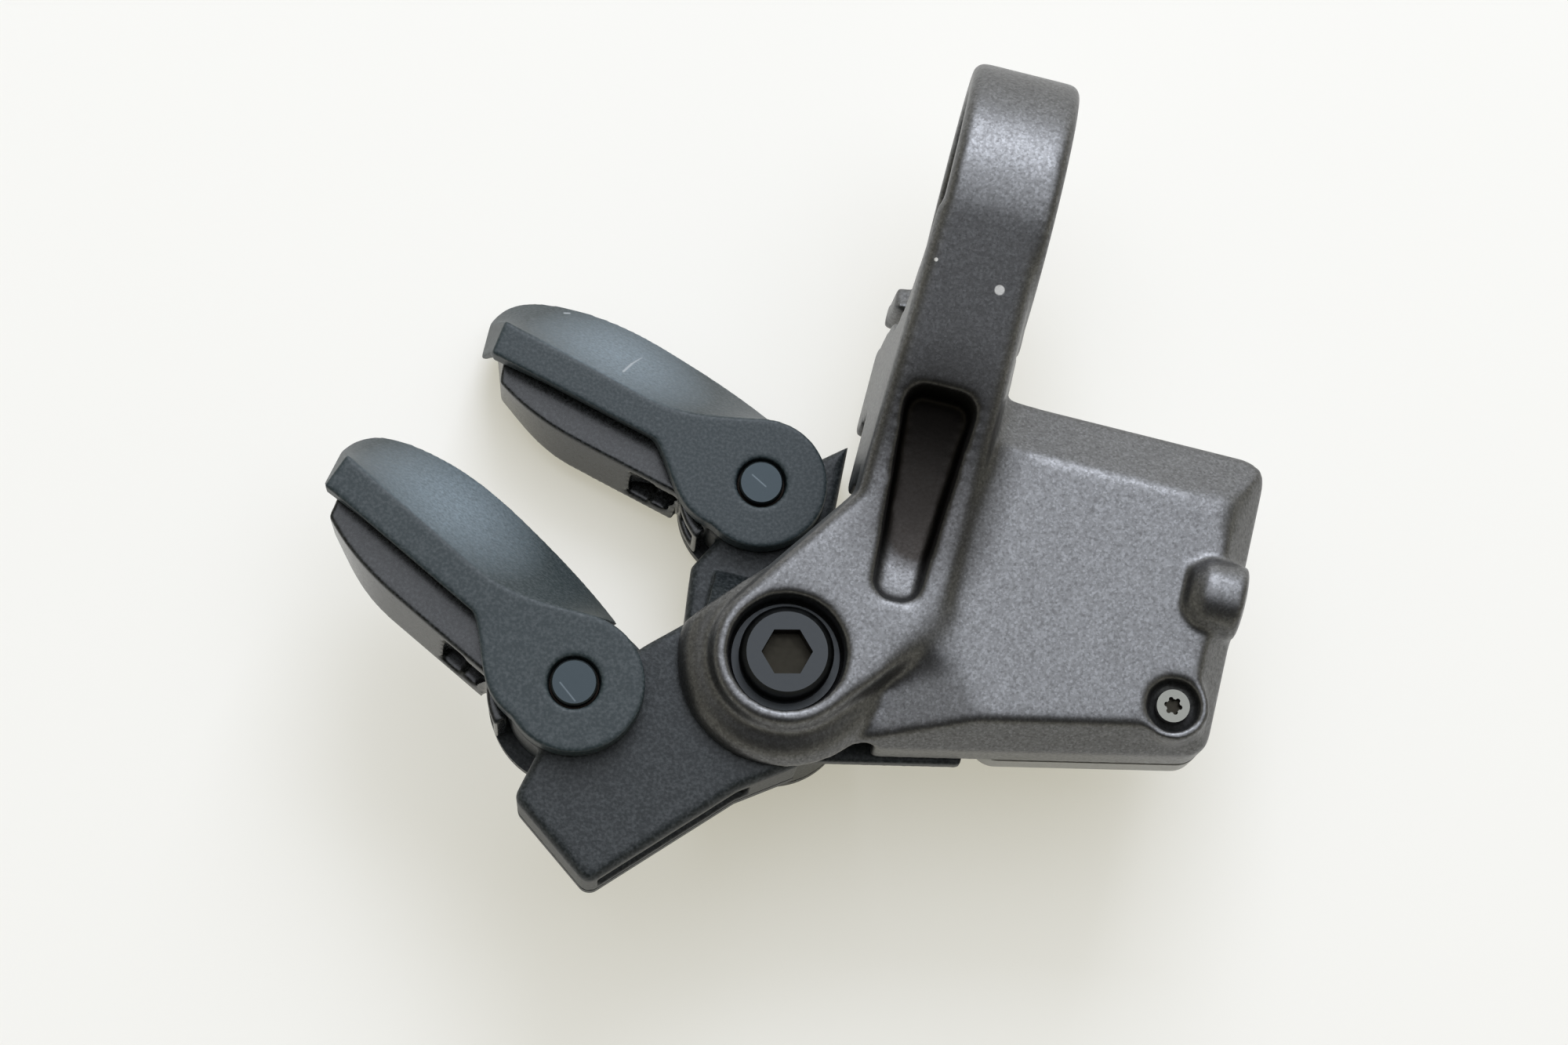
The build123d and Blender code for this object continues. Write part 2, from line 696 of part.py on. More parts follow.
# Neck and lug: one side profile, drafted in plan, with its long front edges rounded
with BuildPart() as neck:
    with BuildSketch(Plane.YZ) as neck_side:
        with BuildLine():
            Polyline(
                (0, 0),
                neck_top,
                (knee_y, BOSS_TOP_Z),
                (SHOULDER[1], BOSS_TOP_Z),
                (SHOULDER[1], ARM_TOP_Z),
                (LUG_FOOT_Y, ARM_TOP_Z),
                (LUG_FOOT_Y, LUG_FRONT_WEB_Z),
                (LOWER_EAR_Y, LUG_FRONT_WEB_Z),
                (LOWER_EAR_Y, LUG_BACK_Z),
                (UPPER_EAR_Y, LUG_BACK_Z),
                (UPPER_EAR_Y, -BAR_R),
                close=True,
            )
        make_face()
        fillet(neck_side.vertices().sort_by_distance((knee_y, BOSS_TOP_Z, 0))[0], NECK_BLEND)
    extrude(amount=RING_R, both=True)
    with BuildSketch(level(RING_R)):
        with BuildLine():
            Polyline(
                (NECK_LEFT_X, RING_R),
                (NECK_RIGHT_X, RING_R),
                (NECK_RIGHT_END_X, SHOULDER[1] - RING_R),
                (NECK_LEFT_END_X, SHOULDER[1] - RING_R),
                close=True,
            )
        make_face()
    extrude(amount=LUG_BACK_Z - RING_R, taper=-LUG_DRAFT, mode=Mode.INTERSECT)
    fillet(
        neck.edges().filter_by(
            lambda e: e.center().Z > BOSS_TOP_Z - SEAT_GAP
            and e.center().Y < neck_top[0] - NECK_EDGE
            and abs(e.tangent_at(0.5).Y) > 0.5
        ),
        NECK_EDGE,
    )

# Boss: drafted, with a slanted rim, and its shoulder running into the neck
boss_rim_z = BOSS_TOP_Z - BOSS_EDGE
boss_spread = (boss_rim_z - ARM_TOP_Z) * math.tan(math.radians(BOSS_DRAFT))
with BuildPart() as boss:
    for z, grow in ((ARM_TOP_Z, boss_spread), (boss_rim_z, 0), (BOSS_TOP_Z, -BOSS_EDGE)):
        with BuildSketch(level(z)):
            with Locations(BOLT):
                Circle(BOSS_TOP_R + grow)
            with Locations(SHOULDER, (SHOULDER[0], FLANK_HIGH[1])):
                Circle(SHOULDER_R + grow)
            make_hull()
    loft(ruled=True)

# Pocket: tapered in plan, with a floor that falls along the neck and sweeps up at its end
with BuildPart() as pocket:
    with BuildSketch(level(ARM_TOP_Z)) as pocket_plan:
        with BuildLine():
            Polyline(
                (LUG_MID_X - POCKET_TOP_W / 2, POCKET_TOP_Y),
                (LUG_MID_X + POCKET_TOP_W / 2, POCKET_TOP_Y),
                (LUG_MID_X + POCKET_END_W / 2, POCKET_END_Y),
                (LUG_MID_X - POCKET_END_W / 2, POCKET_END_Y),
                close=True,
            )
        make_face()
        fillet(pocket_plan.vertices(), POCKET_CORNER)
    extrude(amount=RING_R, taper=-LUG_DRAFT)
    with BuildSketch(Plane.YZ):
        with BuildLine():
            floor_top = (POCKET_TOP_Y + OVERCUT, POCKET_TOP_Z)
            floor_end = (POCKET_END_Y - OVERCUT, POCKET_END_Z)
            Spline(floor_top, (POCKET_LOW_Y, POCKET_LOW_Z), floor_end)
            Polyline(
                floor_end, (floor_end[0], 2 * RING_R), (floor_top[0], 2 * RING_R), floor_top
            )
        make_face()
    extrude(amount=RING_R, both=True, mode=Mode.INTERSECT)

with BuildPart() as bracket:
    with BuildSketch(level(WALL_FOOT_Z)):
        with BuildLine():
            Polyline(
                (PLATE_NECK_X, PLATE_TOP_Y),
                (PLATE_RIGHT_X, PLATE_TOP_Y),
                (PLATE_RIGHT_X, edge_y(PLATE_RIGHT_X)),
                PLATE_LEFT,
                (PLATE_LEFT[0], BOLT[1]),
                (PLATE_NECK_X, SHOULDER[1]),
                close=True,
            )
        make_face()
    extrude(amount=FACE_Z - WALL_FOOT_Z)
    fillet(bracket.edges().filter_by(Axis.Z).sort_by(Axis.X)[-2:], PLATE_CORNER_R)
    # Slanted edges of the face
    top_edge = Plane(origin=(0, PLATE_TOP_Y, 0), x_dir=(0, 1, 0), z_dir=(1, 0, 0))
    right_edge = Plane(origin=(PLATE_RIGHT_X, 0, 0), x_dir=(1, 0, 0), z_dir=(0, -1, 0))
    for plane, run in (
        (top_edge, TOP_FACET), (right_edge, RIGHT_FACET), (edge_plane, BOTTOM_FACET)
    ):
        extrude(facet(plane, run), amount=BIG, both=True, mode=Mode.SUBTRACT)
    # Ramp that falls from the face towards the foot of the boss
    with BuildSketch(ramp_plane):
        with BuildLine():
            Polyline((0, 0), (BIG, -ramp_drop), (BIG, OVERCUT), (0, OVERCUT), close=True)
        make_face()
    extrude(amount=BIG, both=True, mode=Mode.SUBTRACT)
    # The walls stop short of the arm's root
    with BuildSketch(level(WALL_FOOT_Z)):
        with Locations((HOUSING_LEFT_X, BOLT[1])):
            Rectangle(BIG, BIG, align=(Align.MAX, Align.CENTER))
    extrude(amount=ARM_TOP_Z - WALL_FOOT_Z, mode=Mode.SUBTRACT)
    # Hollow sweep from the neck's flank on to the face and over its slanted top edge
    flare_start = flare_face(PLATE_TOP_Y - TOP_FACET, FLARE_H, FLARE_W)
    flare_end = flare_face(RAMP_TOP[1], FLARE_END_H, FLARE_END_W)
    loft([flare_start, flare_end], ruled=True)
    extrude(
        flare_start,
        amount=math.hypot(TOP_FACET, FACE_Z - EDGE_Z),
        dir=(0, TOP_FACET, EDGE_Z - FACE_Z),
    )
    add(neck.part)
    # Ring with rounded edges
    with BuildSketch(Plane.XY) as ring_section:
        Rectangle(RING_WIDTH, RING_R, align=(Align.CENTER, Align.MIN))
        fillet(ring_section.vertices().group_by(Axis.Y)[-1], RING_EDGE)
    revolve(axis=Axis.X)
    # Foot of the boss, cut along its upper flank
    with BuildSketch(bolt_section):
        with BuildLine():
            foot_low = (FOOT_R, ARM_TOP_Z + FOOT_T)
            foot_high = (BOSS_TOP_R + FOOT_T, ARM_TOP_Z + FOOT_RISE)
            Polyline((0, foot_high[1]), (0, ARM_TOP_Z), (FOOT_R, ARM_TOP_Z), foot_low)
            RadiusArc(foot_low, foot_high, -FOOT_RISE)
            Line(foot_high, (0, foot_high[1]))
        make_face()
    revolve(axis=Axis((*BOLT, 0), (0, 0, 1)))
    with BuildSketch(level(ARM_TOP_Z)):
        with BuildLine():
            Polyline(
                FLANK_LOW,
                FLANK_HIGH,
                (FLANK_HIGH[0] - FOOT_R, FLANK_HIGH[1] + FOOT_R),
                (FLANK_LOW[0] - FOOT_R, FLANK_LOW[1] + FOOT_R),
                close=True,
            )
        make_face()
    extrude(amount=FACE_Z, mode=Mode.SUBTRACT)
    add(boss.part)
    # Half-round swelling on the right edge, slanted at its inner end
    with BuildSketch(Plane.YZ.offset(BULGE_LEFT_X)):
        with Locations((BULGE_Y, BULGE_TOP_Z - BULGE_R)):
            Circle(BULGE_R)
    extrude(amount=PLATE_RIGHT_X - BULGE_LEFT_X)
    bulge_end = Plane(origin=(BULGE_LEFT_X, BULGE_Y, FACE_Z), x_dir=(1, 0, 0), z_dir=(0, -1, 0))
    with BuildSketch(bulge_end):
        with BuildLine():
            Polyline((0, 0), (BULGE_R, BULGE_R), (0, BULGE_R), close=True)
        make_face()
    extrude(amount=BULGE_R, both=True, mode=Mode.SUBTRACT)
    # Compartment with a ledge for the board, and the screw's post
    extrude(room_face(WALL_FOOT_Z, SIDE_WALL, ROOM_CORNER),
            amount=BOARD_TOP_Z - WALL_FOOT_Z, mode=Mode.SUBTRACT)
    extrude(room_face(BOARD_TOP_Z, SIDE_WALL + LEDGE_W, ROOM_CORNER),
            amount=CEILING_Z - BOARD_TOP_Z, mode=Mode.SUBTRACT)
    with BuildSketch(level(FACE_Z)):
        with Locations(SCREW):
            Circle(SCREW_BOSS_R)
    extrude(amount=WALL_FOOT_Z - FACE_Z)
    with BuildSketch(level(FACE_Z)):
        with Locations(SCREW):
            Circle(SCREW_BORE_R)
    extrude(amount=-SCREW_BORE_DEPTH, mode=Mode.SUBTRACT)
    with BuildSketch(level(FACE_Z)):
        with Locations(SCREW):
            Circle(SCREW_R + HOLE_CLEARANCE)
    extrude(amount=WALL_FOOT_Z - FACE_Z, mode=Mode.SUBTRACT)
    # Bar bore, relieved beside the ring, and the split across the lug
    with BuildSketch(Plane.YZ):
        Circle(BAR_R)
    extrude(amount=RING_WIDTH, both=True, mode=Mode.SUBTRACT)
    for side in (-1, 1):
        with BuildSketch(Plane.YZ.offset(side * RING_WIDTH / 2)):
            Circle(BAR_R + BORE_RELIEF)
        extrude(amount=side * RING_WIDTH, mode=Mode.SUBTRACT)
    with BuildSketch(Plane.YZ):
        with Locations((SPLIT_LOW_Y, 0)):
            Rectangle(SPLIT_GAP, -LUG_BACK_Z + OVERCUT, align=(Align.MIN, Align.MAX))
    extrude(amount=RING_WIDTH, both=True, mode=Mode.SUBTRACT)
    with BuildSketch(clamp_axis):
        Circle(CLAMP_SCREW_R + HOLE_CLEARANCE)
    extrude(amount=LOWER_EAR_T, mode=Mode.SUBTRACT)
    with BuildSketch(clamp_axis):
        Circle(CLAMP_SCREW_R + SEAT_GAP)
    extrude(amount=LOWER_EAR_T + SPLIT_GAP + CLAMP_BITE + HOLE_CLEARANCE, mode=Mode.SUBTRACT)
    # Tapered pocket in the neck
    add(pocket.part, mode=Mode.SUBTRACT)
    # Stepped bore for the bolt
    with BuildSketch(level(BOSS_TOP_Z)):
        with Locations(BOLT):
            Circle(COUNTERBORE_R)
    extrude(amount=-COUNTERBORE_DEPTH, mode=Mode.SUBTRACT)
    with BuildSketch(level(BOSS_TOP_Z)):
        with Locations(BOLT):
            Circle(BOLT_R + HOLE_CLEARANCE)
    extrude(amount=-BOSS_TOP_Z, mode=Mode.SUBTRACT)

# Bolt, washer and nut that hold the arm and the carrier under the boss
with BuildPart() as unit_bolt:
    with BuildSketch(level(HEAD_SEAT_Z)):
        with Locations(BOLT):
            Circle(BOLT_HEAD_R)
    extrude(amount=BOLT_HEAD_H)
    chamfer(unit_bolt.edges().sort_by(Axis.Z)[-1], BOLT_HEAD_BEVEL)
    with BuildSketch(level(HEAD_SEAT_Z)):
        with Locations(BOLT):
            Circle(BOLT_R)
    extrude(amount=BOLT_END_Z - HEAD_SEAT_Z)
    with BuildSketch(level(HEAD_SEAT_Z + BOLT_HEAD_H)):
        with Locations(BOLT):
            RegularPolygon(HEX_KEY / 2, 6, major_radius=False, rotation=HEX_TURN)
    extrude(amount=-HEX_DEPTH, mode=Mode.SUBTRACT)

with BuildPart() as bolt_washer:
    with BuildSketch(level(WASHER_SEAT_Z)):
        with Locations(BOLT):
            Circle(BOLT_WASHER_R)
            Circle(BOLT_R + HOLE_CLEARANCE, mode=Mode.SUBTRACT)
    extrude(amount=BOLT_WASHER_T)

with BuildPart() as bolt_nut:
    with BuildSketch(level(NUT_TOP_Z)):
        with Locations(BOLT):
            RegularPolygon(NUT_KEY / 2, 6, major_radius=False)
            Circle(BOLT_R + SEAT_GAP, mode=Mode.SUBTRACT)
    extrude(amount=-NUT_H)

# Screw and washer that close the ring
with BuildPart() as clamp_screw:
    with BuildSketch(clamp_axis.offset(-CLAMP_WASHER_T)):
        Circle(CLAMP_HEAD_R)
    extrude(amount=-CLAMP_HEAD_H)
    with BuildSketch(clamp_axis.offset(-CLAMP_WASHER_T)):
        Circle(CLAMP_SCREW_R)
    extrude(amount=CLAMP_WASHER_T + LOWER_EAR_T + SPLIT_GAP + CLAMP_BITE)
    with BuildSketch(clamp_axis.offset(-CLAMP_WASHER_T - CLAMP_HEAD_H)):
        RegularPolygon(CLAMP_KEY / 2, 6, major_radius=False)
    extrude(amount=CLAMP_KEY_DEPTH, mode=Mode.SUBTRACT)

with BuildPart() as clamp_washer:
    with BuildSketch(clamp_axis):
        Circle(CLAMP_WASHER_R)
        Circle(CLAMP_SCREW_R + HOLE_CLEARANCE, mode=Mode.SUBTRACT)
    extrude(amount=-CLAMP_WASHER_T)

# Back cover, its gasket and its screw
with BuildPart() as back_cover:
    extrude(room_face(COVER_FOOT_Z, 0, PLATE_CORNER_R), amount=COVER_DEPTH)
    chamfer(back_cover.faces().sort_by(Axis.Z)[0].edges(), COVER_EDGE)
    extrude(room_face(WALL_FOOT_Z, COVER_WALL, ROOM_CORNER),
            amount=COVER_FLOOR - COVER_DEPTH, mode=Mode.SUBTRACT)
    with BuildSketch(level(WALL_FOOT_Z)):
        with Locations(SCREW):
            Circle(SCREW_BOSS_R)
    extrude(amount=COVER_FLOOR - COVER_DEPTH)
    with BuildSketch(level(WALL_FOOT_Z)):
        with Locations(SCREW):
            Circle(SCREW_R + SEAT_GAP)
    extrude(amount=-SCREW_BITE - HOLE_CLEARANCE, mode=Mode.SUBTRACT)
    with BuildSketch(level(WALL_FOOT_Z)):
        add(room_face(0, GASKET_INSET, PLATE_CORNER_R - GASKET_INSET))
        add(room_face(0, GASKET_INSET + GASKET_W, ROOM_CORNER), mode=Mode.SUBTRACT)
    extrude(amount=-GASKET_T, mode=Mode.SUBTRACT)

with BuildPart() as cover_gasket:
    with BuildSketch(level(WALL_FOOT_Z)):
        add(room_face(0, GASKET_INSET + SEAT_GAP, PLATE_CORNER_R - GASKET_INSET))
        add(room_face(0, GASKET_INSET + GASKET_W - SEAT_GAP, ROOM_CORNER), mode=Mode.SUBTRACT)
    extrude(amount=-GASKET_T)

with BuildPart() as cover_screw:
    with BuildSketch(level(SCREW_SEAT_Z)):
        with Locations(SCREW):
            Circle(SCREW_HEAD_R)
    extrude(amount=SCREW_HEAD_H)
    with BuildSketch(level(SCREW_SEAT_Z)):
        with Locations(SCREW):
            Circle(SCREW_R)
    extrude(amount=SCREW_END_Z - SCREW_SEAT_Z)
    with BuildSketch(level(SCREW_SEAT_Z + SCREW_HEAD_H)):
        with Locations(SCREW):
            Circle(TORX_R)
            with PolarLocations(TORX_R, 6):
                Circle(TORX_LOBE_R)
    extrude(amount=-TORX_DEPTH, mode=Mode.SUBTRACT)

# Board, radio module, cell and contacts
with BuildPart() as circuit_board:
    extrude(room_face(BOARD_FOOT_Z, SIDE_WALL + JOINT_GAP, ROOM_CORNER), amount=BOARD_T)
    with BuildSketch(level(BOARD_FOOT_Z)):
        with Locations(SCREW):
            Circle(SCREW_BOSS_R + RUN_GAP)
    extrude(amount=BOARD_T, mode=Mode.SUBTRACT)

with BuildPart() as radio_module:
    with BuildSketch(level(BOARD_TOP_Z)):
        with Locations((CELL[0], MODULE_Y)):
            Rectangle(MODULE_LENGTH, MODULE_WIDTH)
    extrude(amount=MODULE_T)
    fillet(radio_module.edges().filter_by(Axis.Z), MODULE_T / 2)

with BuildPart() as coin_cell:
    with BuildSketch(level(CELL_FOOT_Z)):
        with Locations(CELL):
            Circle(CELL_R)
    extrude(amount=CELL_T)
    chamfer(coin_cell.edges().sort_by(Axis.Z)[-1], CONTACT_T)
    fillet(coin_cell.edges().sort_by(Axis.Z)[0], CONTACT_T)


def contact_leaf(seat_z, cell_z):
    """Spring leaf bent from its seat to a face of the cell."""
    rise = math.copysign(CONTACT_T, cell_z - seat_z)
    section = Plane(origin=(*CELL, 0), x_dir=(1, 0, 0), z_dir=(0, -1, 0))
    bend = CONTACT_REACH / 2
    with BuildPart() as leaf:
        with BuildSketch(section):
            with BuildLine():
                Polyline(
                    (-CONTACT_REACH, seat_z),
                    (-bend, seat_z),
                    (bend, cell_z - rise),
                    (CONTACT_REACH, cell_z - rise),
                    (CONTACT_REACH, cell_z),
                    (bend, cell_z),
                    (-bend, seat_z + rise),
                    (-CONTACT_REACH, seat_z + rise),
                    close=True,
                )
            make_face()
        extrude(amount=CONTACT_W / 2, both=True)
    return leaf.part


# Arm for the lower paddle, and its floor
run = (ARM_WAIST[0] - ARM_CORNER[0], ARM_WAIST[1] - ARM_CORNER[1])
slot_plane = Plane(
    origin=(*ARM_CORNER, ARM_TOP_Z - SLOT_TOP), x_dir=(*run, 0), z_dir=(0, 0, 1)
)
with BuildPart() as switch_arm:
    extrude(arm_face(ARM_FOOT_Z, POD_R), amount=POD_DEPTH)
    fillet(switch_arm.faces().sort_by(Axis.Z)[-1].edges(), ARM_EDGE)
    with BuildSketch(level(ARM_FOOT_Z)):
        with BuildLine():
            Polyline(
                (TONGUE_LEFT_X, edge_y(TONGUE_LEFT_X) - TONGUE_PROUD),
                (TONGUE_RIGHT_X, edge_y(TONGUE_RIGHT_X) - TONGUE_PROUD),
                (TONGUE_RIGHT_X, edge_y(TONGUE_RIGHT_X) + TONGUE_W),
                (TONGUE_LEFT_X, edge_y(TONGUE_LEFT_X) + TONGUE_W),
                close=True,
            )
        make_face()
    extrude(amount=WALL_FOOT_Z - TONGUE_GAP - ARM_FOOT_Z)
    with BuildSketch(slot_plane):
        with Locations((SLOT_END_WALL, -OVERCUT)):
            Rectangle(math.hypot(*run), SLOT_DEPTH + OVERCUT, align=(Align.MIN, Align.MIN))
    extrude(amount=-SLOT_H, mode=Mode.SUBTRACT)
    extrude(pod_room(LOWER), amount=-ROOM_DEPTH, mode=Mode.SUBTRACT)
    extrude(peg_slot(LOWER), amount=-PADDLE_PLATE, mode=Mode.SUBTRACT)
    extrude(pin_hole(LOWER), amount=-BIG, mode=Mode.SUBTRACT)
    with BuildSketch(level(ARM_TOP_Z)):
        with Locations(BOLT):
            Circle(BOLT_R + HOLE_CLEARANCE)
    extrude(amount=-POD_DEPTH, mode=Mode.SUBTRACT)

with BuildPart() as arm_floor:
    extrude(arm_face(ROOT_TOP_Z, FLOOR_R), amount=FLOOR_T)
    extrude(pin_hole(LOWER), amount=-BIG, mode=Mode.SUBTRACT)
    with BuildSketch(level(ROOT_TOP_Z)):
        with Locations(BOLT):
            Circle(BOLT_R + HOLE_CLEARANCE)
    extrude(amount=FLOOR_T, mode=Mode.SUBTRACT)

# Carrier for the upper paddle, and its floor
with BuildPart() as upper_carrier:
    extrude(carrier_face(CARRIER_FOOT_Z, POD_R), amount=POD_DEPTH)
    fillet(upper_carrier.faces().sort_by(Axis.Z)[-1].edges(), ARM_EDGE)
    with BuildSketch(level(CARRIER_TOP_Z - ARM_EDGE)):
        with Locations(BOLT):
            Circle(ROOT_R)
    extrude(amount=ROOT_TOP_Z - CARRIER_TOP_Z + ARM_EDGE)
    with BuildSketch(Plane.YZ.offset(BOLT[0])):
        with BuildLine():
            Polyline(
                (BOLT[1], ROOT_TOP_Z),
                (BOLT[1] + ROOT_R / 2, ROOT_TOP_Z),
                (BOLT[1] + ROOT_R / 2 + RIB_SLOPE, CARRIER_TOP_Z),
                (BOLT[1] + ROOT_R / 2 + RIB_SLOPE, CARRIER_TOP_Z - ARM_EDGE),
                (BOLT[1], CARRIER_TOP_Z - ARM_EDGE),
                close=True,
            )
        make_face()
    extrude(amount=RIB_LEFT)
    extrude(pod_room(UPPER), amount=-ROOM_DEPTH, mode=Mode.SUBTRACT)
    extrude(peg_slot(UPPER), amount=-PADDLE_PLATE, mode=Mode.SUBTRACT)
    extrude(pin_hole(UPPER), amount=-BIG, mode=Mode.SUBTRACT)
    with BuildSketch(level(ROOT_TOP_Z)):
        with Locations(BOLT):
            Circle(BOLT_R + HOLE_CLEARANCE)
    extrude(amount=NUT_TOP_Z - ROOT_TOP_Z, mode=Mode.SUBTRACT)
    with BuildSketch(level(NUT_TOP_Z)):
        with Locations(BOLT):
            RegularPolygon(NUT_KEY / 2 + JOINT_GAP, 6, major_radius=False)
    extrude(amount=CARRIER_FOOT_Z - NUT_TOP_Z, mode=Mode.SUBTRACT)

with BuildPart() as carrier_floor:
    extrude(carrier_face(CARRIER_FOOT_Z, FLOOR_R), amount=-FLOOR_T)
    extrude(pin_hole(UPPER), amount=-BIG, mode=Mode.SUBTRACT)

nodes = {
    "main_bracket": bracket.part,
    "unit_bolt": unit_bolt.part,
    "bolt_washer": bolt_washer.part,
    "bolt_nut": bolt_nut.part,
    "clamp_screw": clamp_screw.part,
    "clamp_washer": clamp_washer.part,
    "back_cover": back_cover.part,
    "cover_gasket": cover_gasket.part,
    "cover_screw": cover_screw.part,
    "circuit_board": circuit_board.part,
    "radio_module": radio_module.part,
    "coin_cell": coin_cell.part,
    "contact_negative": contact_leaf(BOARD_FOOT_Z, CELL_TOP_Z),
    "contact_positive": contact_leaf(COVER_FOOT_Z + COVER_FLOOR, CELL_FOOT_Z),
    "switch_arm": switch_arm.part,
    "arm_floor": arm_floor.part,
    "upper_carrier": upper_carrier.part,
    "carrier_floor": carrier_floor.part,
}
makers = {
    "lever": paddle_shell,
    "thumb_pad": thumb_pad,
    "lever_bush": bush,
    "pivot_pin": pivot_pin,
    "pin_clip": pin_clip,
    "return_spring": return_spring,
    "switch_body": switch_body,
    "switch_button": switch_button,
}
for side, frame in (("lower", LOWER), ("upper", UPPER)):
    for name, make in makers.items():
        nodes[f"{side}_{name}"] = make(frame)

os.makedirs("parts", exist_ok=True)
for name, part in nodes.items():
    part.label = name
    export_step(part, f"parts/{name}.step")
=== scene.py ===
"""Looks of an electronic trigger shifter, laid out as an add-on and run as a script.

Metres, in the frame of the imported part: origin at the centre of the handlebar bore, +X along the
bar, +Y up the face plate and +Z out of the face plate.
"""

import json
import math

import bmesh
import bpy
from bpy.props import FloatProperty, FloatVectorProperty, IntProperty, PointerProperty
from mathutils import Matrix, Vector

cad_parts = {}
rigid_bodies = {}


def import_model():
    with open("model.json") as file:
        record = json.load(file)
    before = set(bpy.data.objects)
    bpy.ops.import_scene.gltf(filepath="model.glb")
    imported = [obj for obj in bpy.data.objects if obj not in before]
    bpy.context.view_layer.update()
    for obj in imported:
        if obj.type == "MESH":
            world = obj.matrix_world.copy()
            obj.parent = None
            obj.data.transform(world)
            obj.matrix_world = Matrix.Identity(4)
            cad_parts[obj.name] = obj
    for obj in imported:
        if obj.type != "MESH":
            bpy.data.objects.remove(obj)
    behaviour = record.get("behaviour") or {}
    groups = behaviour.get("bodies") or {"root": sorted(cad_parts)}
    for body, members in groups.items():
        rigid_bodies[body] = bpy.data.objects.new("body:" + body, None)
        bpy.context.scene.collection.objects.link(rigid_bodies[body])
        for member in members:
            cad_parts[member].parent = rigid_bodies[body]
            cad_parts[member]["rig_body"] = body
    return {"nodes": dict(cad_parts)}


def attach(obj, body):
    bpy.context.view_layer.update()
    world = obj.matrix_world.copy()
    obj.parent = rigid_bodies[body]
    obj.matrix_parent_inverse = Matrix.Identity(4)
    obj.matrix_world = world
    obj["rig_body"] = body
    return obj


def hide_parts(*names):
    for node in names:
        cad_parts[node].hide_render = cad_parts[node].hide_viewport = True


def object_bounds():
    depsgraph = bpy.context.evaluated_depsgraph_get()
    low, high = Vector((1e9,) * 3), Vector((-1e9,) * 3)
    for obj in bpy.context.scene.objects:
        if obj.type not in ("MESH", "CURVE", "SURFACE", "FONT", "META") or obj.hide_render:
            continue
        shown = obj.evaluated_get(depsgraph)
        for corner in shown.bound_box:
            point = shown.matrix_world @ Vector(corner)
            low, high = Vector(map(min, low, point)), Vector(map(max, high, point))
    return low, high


bl_info = {
    "name": "Trigger shifter looks",
    "version": (1, 0, 0),
    "blender": (4, 5, 0),
    "location": "View3D > Sidebar > Shifter",
    "description": "Gives the packed trigger shifter its finishes, threads and stage",
    "category": "Object",
}

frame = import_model()
cad_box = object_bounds()

MM = 0.001
SIDES = ("lower", "upper")

# Points this close are one point, and points this near to a surface lie on it, in millimetres
MERGE_MM = 0.001
TOUCH_MM = 0.01

# Moulded pieces that get rounded edges, with the slot of their finish
MOULDED_PADDLES = {
    "lower_lever": "paddle_shell",
    "upper_lever": "paddle_shell",
    "lower_thumb_pad": "thumb_pad",
    "upper_thumb_pad": "thumb_pad",
}
MOULDED_ARMS = {"switch_arm": "arm_plastic", "upper_carrier": "arm_plastic"}

# Where ribs or slanted edges of the casting run together and blend, in millimetres: the middle and
# the reach. For each pass of the rounding, this many further passes follow there
BLENDS = (((3.4, -42.3, 5.3), 5.0), ((27.0, -22.6, 4.9), 3.6))
BLEND_PASSES = 6

# Half-round swelling on the right edge, along X, in millimetres: its middle in Y and Z, and its
# stations in X with their radii
SWELLING = ((-31.3, 4.0), ((24.8, 2.4), (26.3, 3.5), (29.9, 3.5)))
SWELLING_SIDES = 64

# Threaded nodes: the way from the head to the end of the shank, and the pitch in millimetres
THREADS = {
    "unit_bolt": ((0, 0, -1), 0.8),
    "clamp_screw": ((0, 1, 0), 0.7),
    "cover_screw": ((0, 0, -1), 0.4),
}

# Steps in one turn of a thread, and sides of its ridge
THREAD_STEPS = 32
RIDGE_SIDES = 4

# Darker colour deep in the sockets of the screws: its depth below the head and its reach, in
# millimetres
SOCKETS = {"unit_bolt": (2.9, 3.4), "clamp_screw": (2.3, 2.6), "cover_screw": (1.0, 1.2)}

# Marks in millimetres, each a middle and a radius: chips to bare metal, and painted highlights on the
# crowns
CHIPS = (((1.71, -10.25, 11.6), 0.5), ((-4.51, -9.01, 11.95), 0.2))
CROWN_HIGHLIGHTS = (((-40.3, -34.4, 2.9), 12.5), ((-30.5, -12.4, -12.6), 12.0))

# Share of a round mark's radius that it covers in full
CHIP_CORE = 0.8
HIGHLIGHT_CORE = 0.35
SOCKET_CORE = 0.75

# Lines of painted shade and scratches in millimetres: both ends, then the reach of the edge and of
# the core, and for painted shade how much of it shows
# Painted shade: the pocket of the neck and the neck's slope below the ring, darkened as if in shade
POCKET_SHADE = ((-1.4, -19.5, 3.4), (0.2, -31.5, 1.4), 5.2, 3.2, 0.95)
NECK_SHADE = ((-1.0, -22.0, 7.8), (0.2, -31.0, 6.0), 8.0, 3.0, 0.55)
CROWN_SCRATCHES = (
    ((-30.73, -18.96, -14.13), (-30.23, -17.4, -16.18), 0.16, 0.06),
    ((-30.23, -17.4, -16.18), (-29.5, -15.9, -18.1), 0.12, 0.04),
    ((-38.2, -12.8, -20.5), (-37.8, -12.6, -20.7), 0.2, 0.1),
)
PIN_SCRATCHES = (
    ((-28.0, -53.4, 4.0), (-26.3, -54.7, 4.0), 0.1, 0.02),
    ((-16.1, -26.4, -12.0), (-14.6, -27.2, -12.0), 0.1, 0.02),
)

# Colours of small marks: cut fibres in nylon, scratched dark steel, and the darker colour deep in a
# socket
FIBRE_ENDS = "#8f9496"
SCRATCHED_STEEL = "#545b5e"
SOCKET_DARK = "#25231e"

# Fibre ends in the nylon in millimetres, drawn coarser than the real ones so that they show
FIBRE_MM = 0.3

